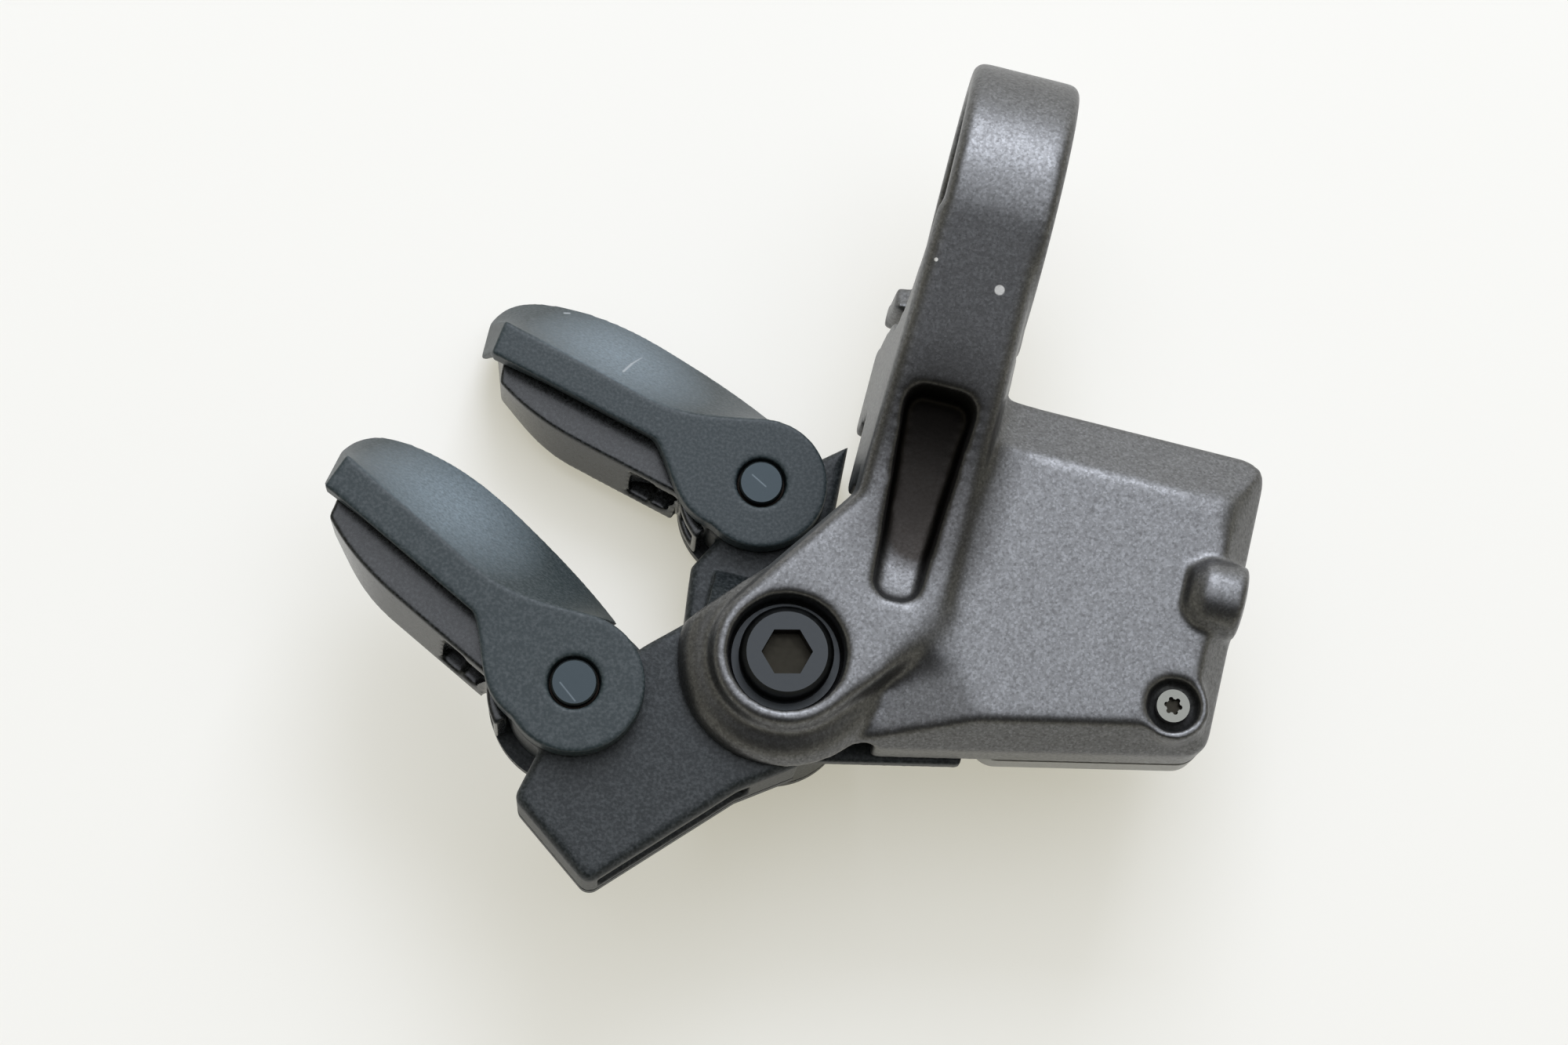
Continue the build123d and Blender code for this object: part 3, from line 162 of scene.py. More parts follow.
# Values of a pattern between which it fades in, and the most of it that shows
FLAKE_FADE = {"From Min": 0.4, "From Max": 0.95, "To Max": 0.4}
PIT_FADE = {"From Min": 0.48, "From Max": 0.72, "To Max": 0.32}
FIBRE_FADE = {"From Min": 0.4, "From Max": 0.8, "To Max": 0.13}

# The painted highlight on a crown fades in as its face turns towards +Y, and the grain breaks it up
SLANT_FADE = {"From Min": 0.25, "From Max": 0.6}
GRAIN_BREAK = {"To Min": 0.1, "To Max": 1.1}

# Relief of the skins: the cast grain, the depth of the moulded grain, and the tool marks
CAST_RELIEF = {"Strength": 0.35, "Distance": 0.025 * MM}
MOULDED_RELIEF_MM = 0.03
TOOL_RELIEF = {"Strength": 0.2, "Distance": 0.02 * MM}

# How far grain and tool marks move the roughness, and the brightness in the deepest tool marks
GRAIN_PLAY = 0.1
TOOL_PLAY = 0.12
DEEPEST_MARK = 0.7

# Parts of the room: the way to each, and the angles from it at which it begins and is whole
GLOW = ((0.0, 0.2, 0.98), 40, 10)
PALE_WALL = ((-0.1, 0.97, 0.2), 50, 15)
DARK_SIDE = ((0.03, -0.64, 0.77), 37, 27)

# Z of a unit look at which the walls have become the ceiling, and the way to the lamp
CEILING_HEIGHT = 0.5
LAMP_WAY = (-0.07, 0.68, 0.73)

# Table: half its side in metres, the size of its faint clouds in millimetres, and its surface
TABLE_HALF = 3.0
CLOUD_MM = 120
CLOUD_SHADE = 0.97
TABLE_SURFACE = {"Roughness": 0.6, "Specular IOR Level": 0.2}

# Camera: its place and its sensor's width in millimetres, and the nearest it sees in metres
CAMERA_PLACE = (-12.07, -107.01, 299.94)
SENSOR_WIDTH = 36.0
NEAREST_SEEN = 0.01


def linear(code):
    """Linear red, green and blue of an sRGB hex colour."""
    shares = [int(code[i : i + 2], 16) / 255 for i in (1, 3, 5)]
    return [c / 12.92 if c <= 0.04045 else ((c + 0.055) / 1.055) ** 2.4 for c in shares]


def per_mm(size):
    """Texture scale at which one feature is about size millimetres across."""
    return 1 / (size * MM)


def colour(name, description, code):
    """A colour property with an sRGB hex default."""
    return FloatVectorProperty(
        name=name, description=description, subtype="COLOR", min=0, max=1, default=linear(code)
    )


def share(name, description, default):
    """A property from 0 to 1."""
    return FloatProperty(
        name=name, description=description, subtype="FACTOR", min=0, max=1, default=default
    )


def length_mm(name, description, default):
    """A length in millimetres."""
    return FloatProperty(name=name, description=description, min=0.01, default=default)


class CastingSettings(bpy.types.PropertyGroup):
    """Painted casting of the clamp and the face plate."""

    paint: colour("Paint", "Grey ground of the paint", "#626262")
    flake: colour("Flake", "Metal flake in the paint", "#8b8c8d")
    # Dark colour of the pits in the cast skin, and of the painted shade in the pocket and along the
    # neck
    dirt_and_shade: colour("Dirt", "Oily dirt in the pocket of the neck", "#1d1a17")
    bare: colour("Bare metal", "Aluminium where the paint is chipped", "#e6e4de")
    roughness: share("Roughness", "Spread of the paint's highlights", 0.4)
    flake_mm: length_mm("Flake size", "Width of a flake of the paint, in mm", 0.2)
    grain_mm: length_mm("Grain size", "Width of a grain of the cast skin, in mm", 0.32)
    voxel_mm: length_mm("Cell", "Cell of the rounded skin, in mm", 0.36)
    rounding: IntProperty(name="Rounding", description="Smoothing passes", min=0, default=12)


class PlasticSettings(bpy.types.PropertyGroup):
    """Moulded paddles, pads, arms and cover."""

    shell: colour("Paddle", "Glass-filled nylon of the paddles", "#242e30")
    pad: colour("Thumb pad", "Smoother nylon under the thumb", "#131514")
    arm: colour("Arm", "Black nylon of the arm and the carrier", "#181d1e")
    cover: colour("Cover", "Grey plastic of the back cover", "#8a8880")
    seal: colour("Seal", "Black silicone of the gasket", "#161616")
    board: colour("Board", "Green glass epoxy of the board", "#1f5a3a")
    switch: colour("Switch", "Black case of the switches", "#242424")
    button: colour("Button", "Red plunger of the switches", "#8c3a2e")
    roughness: share("Roughness", "Spread of the plastic's highlights", 0.46)
    # Painted highlight: paler nylon on the crowns of the paddles, where they face the light
    crown_highlight: colour("Rubbed", "Nylon rubbed pale on the crown of a paddle", "#86949c")
    grain_mm: length_mm("Grain size", "Width of a grain of the moulded skin, in mm", 0.28)
    voxel_mm: length_mm("Cell", "Cell of the rounded skin, in mm", 0.2)
    rounding: IntProperty(name="Rounding", description="Smoothing passes", min=0, default=8)
    paddle_voxel_mm: length_mm("Paddle cell", "Cell of the paddles' skin, in mm", 0.17)
    paddle_rounding: IntProperty(
        name="Paddle rounding", description="Smoothing passes on the paddles", min=0, default=16
    )


class MetalSettings(bpy.types.PropertyGroup):
    """Bolts, screws, pins and small metal pieces."""

    black: colour("Black bolt", "Steel with a black oxide skin", "#3a3c3d")
    bright: colour("Bright steel", "Stainless steel of the small screw", "#76766f")
    pin: colour("Pin", "Dark turned steel of the pivots", "#3d4447")
    brass: colour("Brass", "Contacts of the cell", "#b99a5c")
    bush: colour("Bush", "Oil-filled sintered bronze of the bushes", "#26211d")
    thread_share: share("Thread depth", "Depth of a thread as a share of its pitch", 0.54)


class StageSettings(bpy.types.PropertyGroup):
    """Floor, light and camera."""

    floor: colour("Floor", "Matt white table", "#ecedf1")
    floor_light: colour("Floor light", "Own light of the table in its shadows", "#fdf8e2")
    floor_lift: share("Floor lift", "Share of the table's own light", 0.42)
    ambient: colour("Ambient", "Warm light from all round", "#fffbe8")
    lamp: colour("Lamp", "Cool soft light from above the bar", "#ebf0fc")
    horizon: FloatProperty(name="Horizon", description="Level of the walls", default=0.8)
    ceiling: FloatProperty(name="Ceiling", description="Level of the ceiling", default=0.3)
    glow: FloatProperty(name="Glow", description="Cool level added overhead", default=2.4)
    wall: FloatProperty(name="Pale wall", description="Level added behind the bar", default=1.1)
    dark: share("Dark side", "Share of the light kept on the dark side", 0.06)
    lamp_power: FloatProperty(
        name="Lamp power", description="Power of the soft lamp", subtype="POWER", default=3.9
    )
    lamp_size: FloatProperty(
        name="Lamp size", description="Side of the soft lamp", subtype="DISTANCE", default=0.43
    )
    lamp_away: FloatProperty(
        name="Lamp distance", description="From the bar to the lamp", subtype="DISTANCE", default=0.8
    )
    focal: FloatProperty(
        name="Focal length", description="Lens of the camera", subtype="DISTANCE_CAMERA",
        default=77.22,
    )
    tilt: FloatProperty(
        name="Tilt", description="Camera's tilt from straight down", subtype="ANGLE",
        default=math.radians(13.83),
    )
    roll: FloatProperty(
        name="Roll", description="Camera's roll about its own axis", subtype="ANGLE",
        default=math.radians(14.01),
    )


def wire(tree, node, inputs):
    """Sets or links a node's inputs, by name or by number."""
    for name, value in inputs.items():
        if isinstance(value, bpy.types.NodeSocket):
            tree.links.new(value, node.inputs[name])
        else:
            node.inputs[name].default_value = value


def add(tree, kind, inputs=None, **options):
    """Adds one node with its options, and sets or links its inputs."""
    node = tree.nodes.new(kind)
    for name, value in options.items():
        setattr(node, name, value)
    wire(tree, node, inputs or {})
    return node


def start(name):
    """A new material, its tree, its Object coordinates and its shader."""
    made = bpy.data.materials.new(name)
    made.use_nodes = True
    tree = made.node_tree
    tree.nodes.clear()
    place = add(tree, "ShaderNodeTexCoord").outputs["Object"]
    shader = add(tree, "ShaderNodeBsdfPrincipled")
    add(tree, "ShaderNodeOutputMaterial", {"Surface": shader.outputs["BSDF"]})
    return made, tree, place, shader


def coat(tree, base, layers):
    """A base colour under layers, each with how much of it shows and its own colour."""
    tone = (*base, 1)
    for shown, tint in layers:
        tone = add(
            tree, "ShaderNodeMix", {0: shown, 6: tone, 7: (*tint, 1)}, data_type="RGBA"
        ).outputs[2]
    return tone


def spots(tree, place, marks, core):
    """Mask of a few round marks, 1 inside the core's share of each radius."""
    mask = None
    for centre, radius in marks:
        away = add(
            tree, "ShaderNodeVectorMath", {0: place, 1: Vector(centre) * MM}, operation="DISTANCE"
        )
        spot = add(
            tree, "ShaderNodeMapRange",
            {"Value": away.outputs["Value"], "From Min": radius * MM, "From Max": core * radius * MM},
        ).outputs["Result"]
        if mask:
            spot = add(tree, "ShaderNodeMath", {0: mask, 1: spot}, operation="MAXIMUM").outputs[0]
        mask = spot
    return mask


def streak(tree, place, first, last, edge, core, most=1.0):
    """Mask of a line between two places, at its most inside its core and 0 past its edge."""
    foot = Vector(first) * MM
    run = Vector(last) * MM - foot
    offset = add(
        tree, "ShaderNodeVectorMath", {0: place, 1: foot}, operation="SUBTRACT"
    ).outputs["Vector"]
    along = add(
        tree, "ShaderNodeVectorMath", {0: offset, 1: run / run.length_squared},
        operation="DOT_PRODUCT",
    )
    held = add(tree, "ShaderNodeClamp", {"Value": along.outputs["Value"]})
    nearest = add(
        tree, "ShaderNodeVectorMath", {0: run, "Scale": held.outputs["Result"]}, operation="SCALE"
    )
    away = add(
        tree, "ShaderNodeVectorMath", {0: offset, 1: nearest.outputs["Vector"]},
        operation="DISTANCE",
    )
    return add(tree, "ShaderNodeMapRange", {
        "Value": away.outputs["Value"],
        "From Min": edge * MM,
        "From Max": core * MM,
        "To Max": most,
    }).outputs["Result"]


def painted_highlights(tree, place, grain, marks):
    """Mask of painted highlights on the crowns, kept to faces that slant towards +Y and broken up by
    the grain.
    """
    facing = add(tree, "ShaderNodeSeparateXYZ", {"Vector": place.node.outputs["Normal"]})
    slant = add(tree, "ShaderNodeMapRange", {"Value": facing.outputs["Y"], **SLANT_FADE})
    broken = add(tree, "ShaderNodeMapRange", {"Value": grain, **GRAIN_BREAK})
    mask = spots(tree, place, marks, HIGHLIGHT_CORE)
    for limit in (slant, broken):
        mask = add(
            tree, "ShaderNodeMath", {0: mask, 1: limit.outputs["Result"]}, operation="MULTIPLY"
        ).outputs[0]
    return mask


def cast_paint(settings):
    """Satin metallic paint on die-cast aluminium: flake, a grainy skin with dark pits, chips and
    painted shade.
    """
    made, tree, place, shader = start("painted_die_cast_aluminium")
    cells = add(
        tree, "ShaderNodeTexVoronoi", {"Vector": place, "Scale": per_mm(settings.flake_mm)}
    )
    grain = add(tree, "ShaderNodeTexNoise", {
        "Vector": place, "Scale": per_mm(settings.grain_mm), "Detail": 3,
    }).outputs["Fac"]
    flake = add(tree, "ShaderNodeMapRange", {"Value": cells.outputs["Color"], **FLAKE_FADE})
    pits = add(tree, "ShaderNodeMapRange", {"Value": grain, **PIT_FADE})
    layers = [(flake.outputs["Result"], settings.flake), (pits.outputs["Result"], settings.dirt_and_shade)]
    # Painted shade along the neck and in its pocket
    layers += [(streak(tree, place, *line), settings.dirt_and_shade) for line in (NECK_SHADE, POCKET_SHADE)]
    layers.append((spots(tree, place, CHIPS, CHIP_CORE), settings.bare))
    roughness = add(tree, "ShaderNodeMapRange", {
        "Value": grain,
        "To Min": settings.roughness - GRAIN_PLAY,
        "To Max": settings.roughness + GRAIN_PLAY,
    })
    bump = add(tree, "ShaderNodeBump", {"Height": grain, **CAST_RELIEF})
    wire(tree, shader, {
        "Base Color": coat(tree, settings.paint, layers),
        "Roughness": roughness.outputs["Result"],
        "Metallic": 0.95,
        "Normal": bump.outputs["Normal"],
    })
    return made


def moulded(name, tint, settings, rougher=0.0, gloss=0.32, grainy=0.5, crown_highlight=(), scratches=()):
    """Plastic from a spark-eroded mould: a fine even grain, pale fibre ends, scratches and painted
    highlights.
    """
    made, tree, place, shader = start(name)
    grain = add(
        tree, "ShaderNodeTexNoise", {"Vector": place, "Scale": per_mm(settings.grain_mm)}
    ).outputs["Fac"]
    fibre = add(
        tree, "ShaderNodeTexNoise", {"Vector": place, "Scale": per_mm(FIBRE_MM), "Detail": 1}
    )
    pale = add(tree, "ShaderNodeMapRange", {"Value": fibre.outputs["Fac"], **FIBRE_FADE})
    layers = [(pale.outputs["Result"], linear(FIBRE_ENDS))]
    # Painted highlight on the crowns, paler where they face +Y
    if crown_highlight:
        layers.append((painted_highlights(tree, place, grain, crown_highlight), settings.crown_highlight))
    layers += [(streak(tree, place, *line), linear(FIBRE_ENDS)) for line in scratches]
    roughness = add(tree, "ShaderNodeMapRange", {
        "Value": grain,
        "To Min": settings.roughness + rougher - GRAIN_PLAY,
        "To Max": settings.roughness + rougher + GRAIN_PLAY,
    })
    bump = add(tree, "ShaderNodeBump", {
        "Height": grain, "Strength": grainy, "Distance": MOULDED_RELIEF_MM * MM,
    })
    wire(tree, shader, {
        "Base Color": coat(tree, tint, layers),
        "Roughness": roughness.outputs["Result"],
        "Specular IOR Level": gloss,
        "Normal": bump.outputs["Normal"],
    })
    return made


def metal(name, tint, roughness, mark_mm, scratches=(), sockets=()):
    """Worn metal: fine tool marks, patches of handling gloss, scratches and sockets darker deep down.
    """
    made, tree, place, shader = start(name)
    marks = add(
        tree, "ShaderNodeTexNoise", {"Vector": place, "Scale": per_mm(mark_mm), "Detail": 3}
    ).outputs["Fac"]
    layers = [(marks, tint)]
    layers += [(streak(tree, place, *line), linear(SCRATCHED_STEEL)) for line in scratches]
    # Darker colour deep in the sockets of the screws
    if sockets:
        layers.append((spots(tree, place, sockets, SOCKET_CORE), linear(SOCKET_DARK)))
    patches = add(tree, "ShaderNodeMapRange", {
        "Value": marks, "To Min": roughness - TOOL_PLAY, "To Max": roughness + TOOL_PLAY,
    })
    bump = add(tree, "ShaderNodeBump", {"Height": marks, **TOOL_RELIEF})
    wire(tree, shader, {
        "Base Color": coat(tree, [DEEPEST_MARK * c for c in tint], layers),
        "Metallic": 1.0,
        "Roughness": patches.outputs["Result"],
        "Normal": bump.outputs["Normal"],
    })
    return made


def paint_nodes(names, finish):
    """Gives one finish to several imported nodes."""
    for name in names:
        for slot in frame["nodes"][name].material_slots:
            slot.material = finish


def body_of(node):
    """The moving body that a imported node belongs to."""
    return frame["nodes"][node]["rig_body"]


def put(name, content):
    """A new object in the scene."""
    made = bpy.data.objects.new(name, content)
    bpy.context.scene.collection.objects.link(made)
    return made


def merged(node):
    """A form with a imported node's shape, its loose triangles joined."""
    form = bmesh.new()
    form.from_mesh(frame["nodes"][node].data)
    bmesh.ops.remove_doubles(form, verts=form.verts, dist=MERGE_MM * MM)
    return form


def settle(piece):
    """Turns a piece's live modifiers into its own plain mesh."""
    graph = bpy.context.evaluated_depsgraph_get()
    made = bpy.data.meshes.new_from_object(piece.evaluated_get(graph))
    piece.modifiers.clear()
    piece.data = made


def dress(form, node, finish, ending):
    """Makes a piece from a form, in the place of a node."""
    mesh = bpy.data.meshes.new(f"{node}_{ending}")
    form.to_mesh(mesh)
    form.free()
    mesh.materials.append(finish)
    for face in mesh.polygons:
        face.material_index = 0
    piece = put(f"{node}_{ending}", mesh)
    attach(piece, body_of(node))
    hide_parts(node)


def soften(piece, middle, reach, passes):
    """Smooths a piece further round one place, in full over the inner half of the reach."""
    zone = piece.vertex_groups.new(name="soft_zone")
    for vert in piece.data.vertices:
        share_out = (vert.co / MM - Vector(middle)).length / reach
        if share_out < 1:
            zone.add([vert.index], min(1.0, 2 - 2 * share_out), "REPLACE")
    extra = piece.modifiers.new("softening", "SMOOTH")
    extra.vertex_group = zone.name
    extra.iterations = passes
    settle(piece)


def swell(form, middle, stations):
    """Adds a turned solid along X to a form."""
    turns = [math.tau * i / SWELLING_SIDES for i in range(SWELLING_SIDES)]
    y, z = middle
    rings = []
    for x, radius in stations:
        points = [(x, y + radius * math.cos(a), z + radius * math.sin(a)) for a in turns]
        rings.append([form.verts.new(Vector(point) * MM) for point in points])
    for left, right in zip(rings, rings[1:]):
        for i in range(SWELLING_SIDES):
            form.faces.new((left[i - 1], left[i], right[i], right[i - 1]))
    form.faces.new(rings[0][::-1])
    form.faces.new(rings[-1])


def rounded(node, finish, voxel_mm, passes, blends=(), swellings=()):
    """Makes a piece with a node's form and the rounded edges of a casting or a moulding."""
    form = merged(node)
    for swelling in swellings:
        swell(form, *swelling)
    mesh = bpy.data.meshes.new(f"{node}_draft")
    form.to_mesh(mesh)
    draft = put(f"{node}_draft", mesh)
    skin = draft.modifiers.new("skin", "REMESH")
    skin.mode = "VOXEL"
    skin.voxel_size = voxel_mm * MM
    skin.use_smooth_shade = True
    softening = draft.modifiers.new("rounding", "SMOOTH")
    softening.iterations = passes
    settle(draft)
    for middle, reach in blends:
        soften(draft, middle, reach, BLEND_PASSES * passes)
    form.clear()
    form.from_mesh(draft.data)
    bpy.data.objects.remove(draft)
    dress(form, node, finish, "skin")


def thread_group():
    """Node group that sweeps a ridge along a helix."""
    group = bpy.data.node_groups.new("screw_thread", "GeometryNodeTree")
    for name in ("Radius", "Pitch", "Turns", "Depth"):
        group.interface.new_socket(name, in_out="INPUT", socket_type="NodeSocketFloat")
    group.interface.new_socket("Material", in_out="INPUT", socket_type="NodeSocketMaterial")
    group.interface.new_socket("Geometry", in_out="OUTPUT", socket_type="NodeSocketGeometry")
    given = add(group, "NodeGroupInput").outputs
    core = add(
        group, "ShaderNodeMath", {0: given["Radius"], 1: given["Depth"]}, operation="SUBTRACT"
    ).outputs[0]
    height = add(
        group, "ShaderNodeMath", {0: given["Pitch"], 1: given["Turns"]}, operation="MULTIPLY"
    ).outputs[0]
    helix = add(group, "GeometryNodeCurveSpiral", {
        "Resolution": THREAD_STEPS,
        "Rotations": given["Turns"],
        "Start Radius": core,
        "End Radius": core,
        "Height": height,
    })
    upright = add(
        group, "GeometryNodeSetCurveNormal", {"Curve": helix.outputs["Curve"]}, mode="Z_UP"
    )
    ridge = add(
        group, "GeometryNodeCurvePrimitiveCircle",
        {"Resolution": RIDGE_SIDES, "Radius": given["Depth"]},
        mode="RADIUS",
    )
    swept = add(group, "GeometryNodeCurveToMesh", {
        "Curve": upright.outputs["Curve"],
        "Profile Curve": ridge.outputs["Curve"],
        "Fill Caps": True,
    })
    real = add(group, "GeometryNodeRealizeInstances", {"Geometry": swept.outputs["Mesh"]})
    done = add(group, "GeometryNodeSetMaterial", {
        "Geometry": real.outputs["Geometry"], "Material": given["Material"],
    })
    add(group, "NodeGroupOutput", {"Geometry": done.outputs["Geometry"]})
    return group


def swept_thread(node, group, given):
    """Mesh of a screw's thread, along +Z from the origin."""
    ridge = put(f"{node}_thread", bpy.data.meshes.new(f"{node}_thread"))
    sweep = ridge.modifiers.new("thread", "NODES")
    sweep.node_group = group
    sockets = {item.name: item.identifier for item in group.interface.items_tree}
    for name, value in given.items():
        sweep[sockets[name]] = value
    settle(ridge)
    mesh = ridge.data
    bpy.data.objects.remove(ridge)
    return mesh


def shank_end(form, way):
    """Foot of a screw's axis, how far along the way the screw ends, and the radius of that end."""
    end = max(vert.co.dot(way) for vert in form.verts)
    tip = [vert.co for vert in form.verts if vert.co.dot(way) > end - TOUCH_MM * MM]
    middle = Vector([(min(c) + max(c)) / 2 for c in zip(*tip)])
    radius = max((point - middle).length for point in tip)
    return middle - way * end, end, radius


def turn_down(form, way, axis, radius, depth):
    """Takes a depth off a screw's shank, and finds how far along the way the shank starts."""
    shank = []
    for vert in form.verts:
        out = vert.co - axis - way * (vert.co - axis).dot(way)
        if abs(out.length - radius) < TOUCH_MM * MM:
            shank.append(vert.co.dot(way))
            vert.co -= out * (depth / radius)
    return min(shank)


def threaded(node, finish, group, depth_share):
    """Makes a screw with a node's form, its shank turned down to the root of a swept thread."""
    way, pitch = Vector(THREADS[node][0]), THREADS[node][1] * MM
    depth = depth_share * pitch
    form = merged(node)
    axis, end, radius = shank_end(form, way)
    length = end - turn_down(form, way, axis, radius, depth)
    turns = math.floor(length / pitch) - 1
    thread = swept_thread(node, group, {
        "Radius": radius, "Pitch": pitch, "Turns": turns, "Depth": depth, "Material": finish,
    })
    # The thread lies halfway along the shank
    thread.transform(
        Matrix.Translation(axis + way * (end - (length + turns * pitch) / 2))
        @ way.to_track_quat("Z", "Y").to_matrix().to_4x4()
    )
    form.from_mesh(thread)
    dress(form, node, finish, "threaded")


def darker_socket(node):
    """Middle and reach of the darker colour deep in the socket of a screw, in millimetres."""
    depth, reach = SOCKETS[node]
    way = Vector(THREADS[node][0])
    points = [v.co / MM for v in frame["nodes"][node].data.vertices]
    middle = Vector([(min(c) + max(c)) / 2 for c in zip(*points)])
    head = min(point.dot(way) for point in points)
    return middle + way * (head + depth - middle.dot(way)), reach


class SHIFTER_OT_casting(bpy.types.Operator):
    """Rounds and paints the clamp casting"""

    bl_idname = "shifter.casting"
    bl_label = "Casting"

    def execute(self, context):
        settings = context.scene.shifter_casting
        rounded(
            "main_bracket", cast_paint(settings), settings.voxel_mm,
            settings.rounding, BLENDS, [SWELLING],
        )
        return {"FINISHED"}


class SHIFTER_OT_paddles(bpy.types.Operator):
    """Rounds the paddles and thumb pads and gives them their plastics"""

    bl_idname = "shifter.paddles"
    bl_label = "Paddles"

    def execute(self, context):
        settings = context.scene.shifter_plastic
        finishes = {
            # Glass-filled nylon: satin and nearly black, with a painted highlight on the crowns
            "paddle_shell": moulded(
                "moulded_nylon_paddle", settings.shell, settings,
                crown_highlight=CROWN_HIGHLIGHTS, scratches=CROWN_SCRATCHES,
            ),
            # Nylon from a smoother part of the mould: deep black with soft highlights
            "thumb_pad": moulded(
                "moulded_nylon_thumb_pad", settings.pad, settings,
                rougher=-0.22, gloss=0.45, grainy=0.1,
            ),
        }
        for node, slot in MOULDED_PADDLES.items():
            rounded(
                node, finishes[slot], settings.paddle_voxel_mm, settings.paddle_rounding
            )
        return {"FINISHED"}


class SHIFTER_OT_arms(bpy.types.Operator):
    """Rounds the arm and the carrier and gives them and their floors black nylon"""

    bl_idname = "shifter.arms"
    bl_label = "Arms"

    def execute(self, context):
        settings = context.scene.shifter_plastic
        # Glass-filled nylon from a coarse mould: black and dull, with a strong grain
        finish = moulded("moulded_nylon_arm", settings.arm, settings, gloss=0.3, grainy=0.9)
        for node, slot in MOULDED_ARMS.items():
            rounded(node, finish, settings.voxel_mm, settings.rounding)
        paint_nodes(("arm_floor", "carrier_floor"), finish)
        return {"FINISHED"}


class SHIFTER_OT_cover(bpy.types.Operator):
    """Gives the back cover and its gasket their finishes"""

    bl_idname = "shifter.cover"
    bl_label = "Back cover"

    def execute(self, context):
        settings = context.scene.shifter_plastic
        # Moulded ABS: warm grey with a soft gloss
        cover = moulded("moulded_abs_cover", settings.cover, settings, rougher=-0.1, gloss=0.5)
        # Moulded silicone: flat black
        gasket = moulded("silicone_gasket", settings.seal, settings, rougher=0.2, gloss=0.3)
        paint_nodes(("back_cover",), cover)
        paint_nodes(("cover_gasket",), gasket)
        return {"FINISHED"}


class SHIFTER_OT_metal(bpy.types.Operator):
    """Gives the fasteners, pins and springs their metals"""

    bl_idname = "shifter.metal"
    bl_label = "Metal pieces"

    def execute(self, context):
        settings = context.scene.shifter_metal
        darkened_sockets = [darker_socket(node) for node in SOCKETS]
        # Black oxide on forged steel: dark and satin, with the sockets darker deep down
        black = metal(
            "black_oxide_steel", settings.black, roughness=0.38, mark_mm=0.5, sockets=darkened_sockets
        )
        # Plain stainless steel: pale and the smoothest of the metals
        bright = metal(
            "stainless_steel", settings.bright, roughness=0.32, mark_mm=0.3, sockets=darkened_sockets
        )
        # Turned and blackened steel: dark grey, with paler scratches on the ends
        turned = metal(
            "turned_dark_steel", settings.pin, roughness=0.42, mark_mm=0.4, scratches=PIN_SCRATCHES
        )
        # Rolled brass strip: yellow and a little cloudy
        brass = metal("rolled_brass", settings.brass, roughness=0.35, mark_mm=0.4)
        # Sintered bronze full of oil: dark brown and dull
        bronze = metal("oil_filled_bronze", settings.bush, roughness=0.5, mark_mm=0.3)
        paint_nodes(("bolt_washer", "bolt_nut", "clamp_washer"), black)
        paint_nodes(("coin_cell", "radio_module"), bright)
        paint_nodes(("contact_negative", "contact_positive"), brass)
        for side in SIDES:
            paint_nodes((f"{side}_return_spring",), bright)
            paint_nodes((f"{side}_pivot_pin", f"{side}_pin_clip"), turned)
            paint_nodes((f"{side}_lever_bush",), bronze)
        thread = thread_group()
        for node, slot, finish in (
            ("unit_bolt", "black_bolt", black),
            ("clamp_screw", "steel", black),
            ("cover_screw", "small_screw", bright),
        ):
            threaded(node, finish, thread, settings.thread_share)
        return {"FINISHED"}


class SHIFTER_OT_inside(bpy.types.Operator):
    """Gives the board and the switches their finishes"""

    bl_idname = "shifter.inside"
    bl_label = "Inside"

    def execute(self, context):
        settings = context.scene.shifter_plastic
        # Glass epoxy under a lacquer: green with a soft gloss
        board = moulded("glass_epoxy_board", settings.board, settings, rougher=-0.15)
        # Moulded switch parts: a plain satin black and a plain satin red
        case = moulded("moulded_switch_case", settings.switch, settings)
        plunger = moulded("moulded_switch_button", settings.button, settings)
        paint_nodes(("circuit_board",), board)
        for side in SIDES:
            paint_nodes((f"{side}_switch_body",), case)
            paint_nodes((f"{side}_switch_button",), plunger)
        return {"FINISHED"}


def near(tree, look, way, begins, whole, low, high):
    """Value that eases from low to high as a look nears a way, between two angles from it."""
    facing = add(
        tree, "ShaderNodeVectorMath", {0: look, 1: Vector(way).normalized()},
        operation="DOT_PRODUCT",
    )
    return add(
        tree, "ShaderNodeMapRange",
        {
            "Value": facing.outputs["Value"],
            "From Min": math.cos(math.radians(begins)),
            "From Max": math.cos(math.radians(whole)),
            "To Min": low,
            "To Max": high,
        },
        interpolation_type="SMOOTHSTEP",
    ).outputs["Result"]


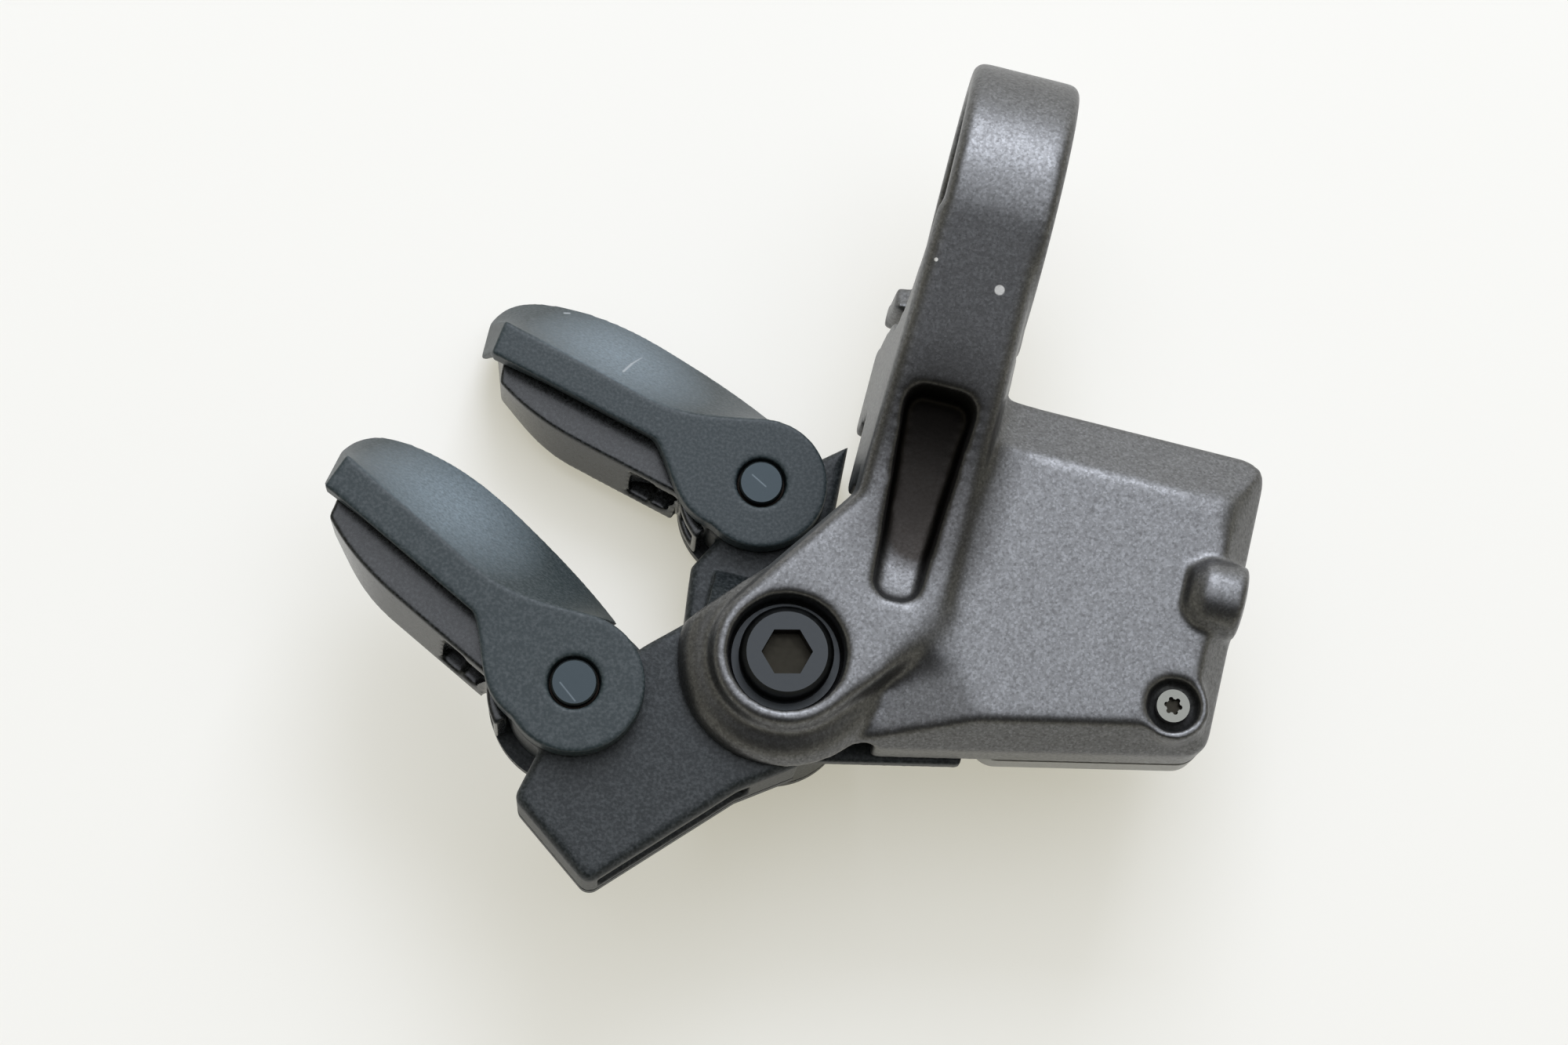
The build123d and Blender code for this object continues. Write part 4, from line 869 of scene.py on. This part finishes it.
def room(settings):
    """A pale room with a glow overhead, a bright wall behind the bar and one dark side."""
    world = bpy.data.worlds.new("pale_room")
    world.use_nodes = True
    tree = world.node_tree
    tree.nodes.clear()
    look = add(tree, "ShaderNodeTexCoord").outputs["Generated"]
    height = add(tree, "ShaderNodeSeparateXYZ", {"Vector": look}).outputs["Z"]
    walls = add(tree, "ShaderNodeMapRange", {
        "Value": height,
        "From Max": CEILING_HEIGHT,
        "To Min": settings.horizon,
        "To Max": settings.ceiling,
    }).outputs["Result"]
    glow = near(tree, look, *GLOW, 0, settings.glow)
    wall = near(tree, look, *PALE_WALL, 0, settings.wall)
    dark = near(tree, look, *DARK_SIDE, 1, settings.dark)
    cool = add(tree, "ShaderNodeMath", {0: glow, 1: wall}, operation="ADD").outputs[0]
    skies = []
    for tint, level in ((settings.ambient, walls), (settings.lamp, cool)):
        kept = add(tree, "ShaderNodeMath", {0: level, 1: dark}, operation="MULTIPLY").outputs[0]
        sky = add(tree, "ShaderNodeBackground", {"Color": (*tint, 1), "Strength": kept})
        skies.append(sky.outputs["Background"])
    both = add(tree, "ShaderNodeAddShader", {0: skies[0], 1: skies[1]})
    add(tree, "ShaderNodeOutputWorld", {"Surface": both.outputs[0]})
    return world


def table_laminate(settings):
    """Matt white laminate: faint clouds, and its own light where it is seen or mirrored."""
    made, tree, place, shader = start("matt_white_laminate")
    clouds = add(tree, "ShaderNodeTexNoise", {"Vector": place, "Scale": per_mm(CLOUD_MM)})
    shade = [CLOUD_SHADE * c for c in settings.floor]
    tone = coat(tree, shade, [(clouds.outputs["Fac"], settings.floor)])
    wire(tree, shader, {"Base Color": tone, **TABLE_SURFACE})
    path = add(tree, "ShaderNodeLightPath").outputs
    seen = path["Is Camera Ray"]
    for kind in ("Is Glossy Ray", "Is Transmission Ray"):
        seen = add(
            tree, "ShaderNodeMath", {0: seen, 1: path[kind]}, operation="MAXIMUM"
        ).outputs[0]
    lift = add(tree, "ShaderNodeMath", {0: seen, 1: settings.floor_lift}, operation="MULTIPLY")
    own = add(tree, "ShaderNodeEmission", {"Color": (*settings.floor_light, 1)})
    mixed = add(tree, "ShaderNodeMixShader", {
        0: lift.outputs[0], 1: shader.outputs["BSDF"], 2: own.outputs["Emission"],
    })
    wire(tree, tree.nodes["Material Output"], {"Surface": mixed.outputs["Shader"]})
    return made


def lay_table(settings):
    """Lays the table under the lowest point of the part."""
    low = cad_box[0].z
    corners = [
        (x * TABLE_HALF, y * TABLE_HALF, low) for x, y in ((-1, -1), (1, -1), (1, 1), (-1, 1))
    ]
    sheet = bpy.data.meshes.new("table")
    sheet.from_pydata(corners, [], [(0, 1, 2, 3)])
    sheet.materials.append(table_laminate(settings))
    table = put("table", sheet)


def hang_lamp(settings):
    """Hangs the soft lamp above the bar, turned to the origin."""
    light = bpy.data.lights.new("soft_lamp", "AREA")
    light.energy = settings.lamp_power
    light.color = settings.lamp
    light.size = settings.lamp_size
    lamp = put("soft_lamp", light)
    heading = Vector(LAMP_WAY).normalized()
    lamp.location = heading * settings.lamp_away
    lamp.rotation_euler = heading.to_track_quat("Z", "Y").to_euler()


def set_camera(settings):
    """Sets the camera at its place, tilted and rolled from straight down."""
    lens = bpy.data.cameras.new("camera")
    lens.lens = settings.focal
    lens.sensor_width = SENSOR_WIDTH
    lens.clip_start = NEAREST_SEEN
    camera = put("camera", lens)
    turn = Matrix.Rotation(settings.tilt, 4, "X") @ Matrix.Rotation(settings.roll, 4, "Z")
    camera.matrix_world = Matrix.Translation(Vector(CAMERA_PLACE) * MM) @ turn
    bpy.context.scene.camera = camera


class SHIFTER_OT_stage(bpy.types.Operator):
    """Makes the floor, the light and the camera"""

    bl_idname = "shifter.stage"
    bl_label = "Stage"

    def execute(self, context):
        settings = context.scene.shifter_stage
        lay_table(settings)
        context.scene.world = room(settings)
        hang_lamp(settings)
        set_camera(settings)
        context.scene.view_settings.view_transform = "Standard"
        return {"FINISHED"}


class SHIFTER_PT_sidebar(bpy.types.Panel):
    """Lists the pieces of the shifter"""

    bl_idname = "SHIFTER_PT_sidebar"
    bl_label = "Trigger shifter"
    bl_space_type = "VIEW_3D"
    bl_region_type = "UI"
    bl_category = "Shifter"

    def draw(self, context):
        for operator in OPERATORS:
            self.layout.operator(operator.bl_idname)


SETTINGS = {
    "shifter_casting": CastingSettings,
    "shifter_plastic": PlasticSettings,
    "shifter_metal": MetalSettings,
    "shifter_stage": StageSettings,
}
OPERATORS = (
    SHIFTER_OT_casting,
    SHIFTER_OT_paddles,
    SHIFTER_OT_arms,
    SHIFTER_OT_cover,
    SHIFTER_OT_metal,
    SHIFTER_OT_inside,
    SHIFTER_OT_stage,
)


def register():
    for made in (*SETTINGS.values(), *OPERATORS, SHIFTER_PT_sidebar):
        bpy.utils.register_class(made)
    for name, group in SETTINGS.items():
        setattr(bpy.types.Scene, name, PointerProperty(type=group))


def unregister():
    for name in SETTINGS:
        delattr(bpy.types.Scene, name)
    for made in (SHIFTER_PT_sidebar, *reversed(OPERATORS), *reversed(SETTINGS.values())):
        bpy.utils.unregister_class(made)


def main():
    """Dresses the part."""
    register()
    bpy.ops.shifter.casting()
    bpy.ops.shifter.paddles()
    bpy.ops.shifter.arms()
    bpy.ops.shifter.cover()
    bpy.ops.shifter.metal()
    bpy.ops.shifter.inside()
    bpy.ops.shifter.stage()


if __name__ == "__main__":
    main()
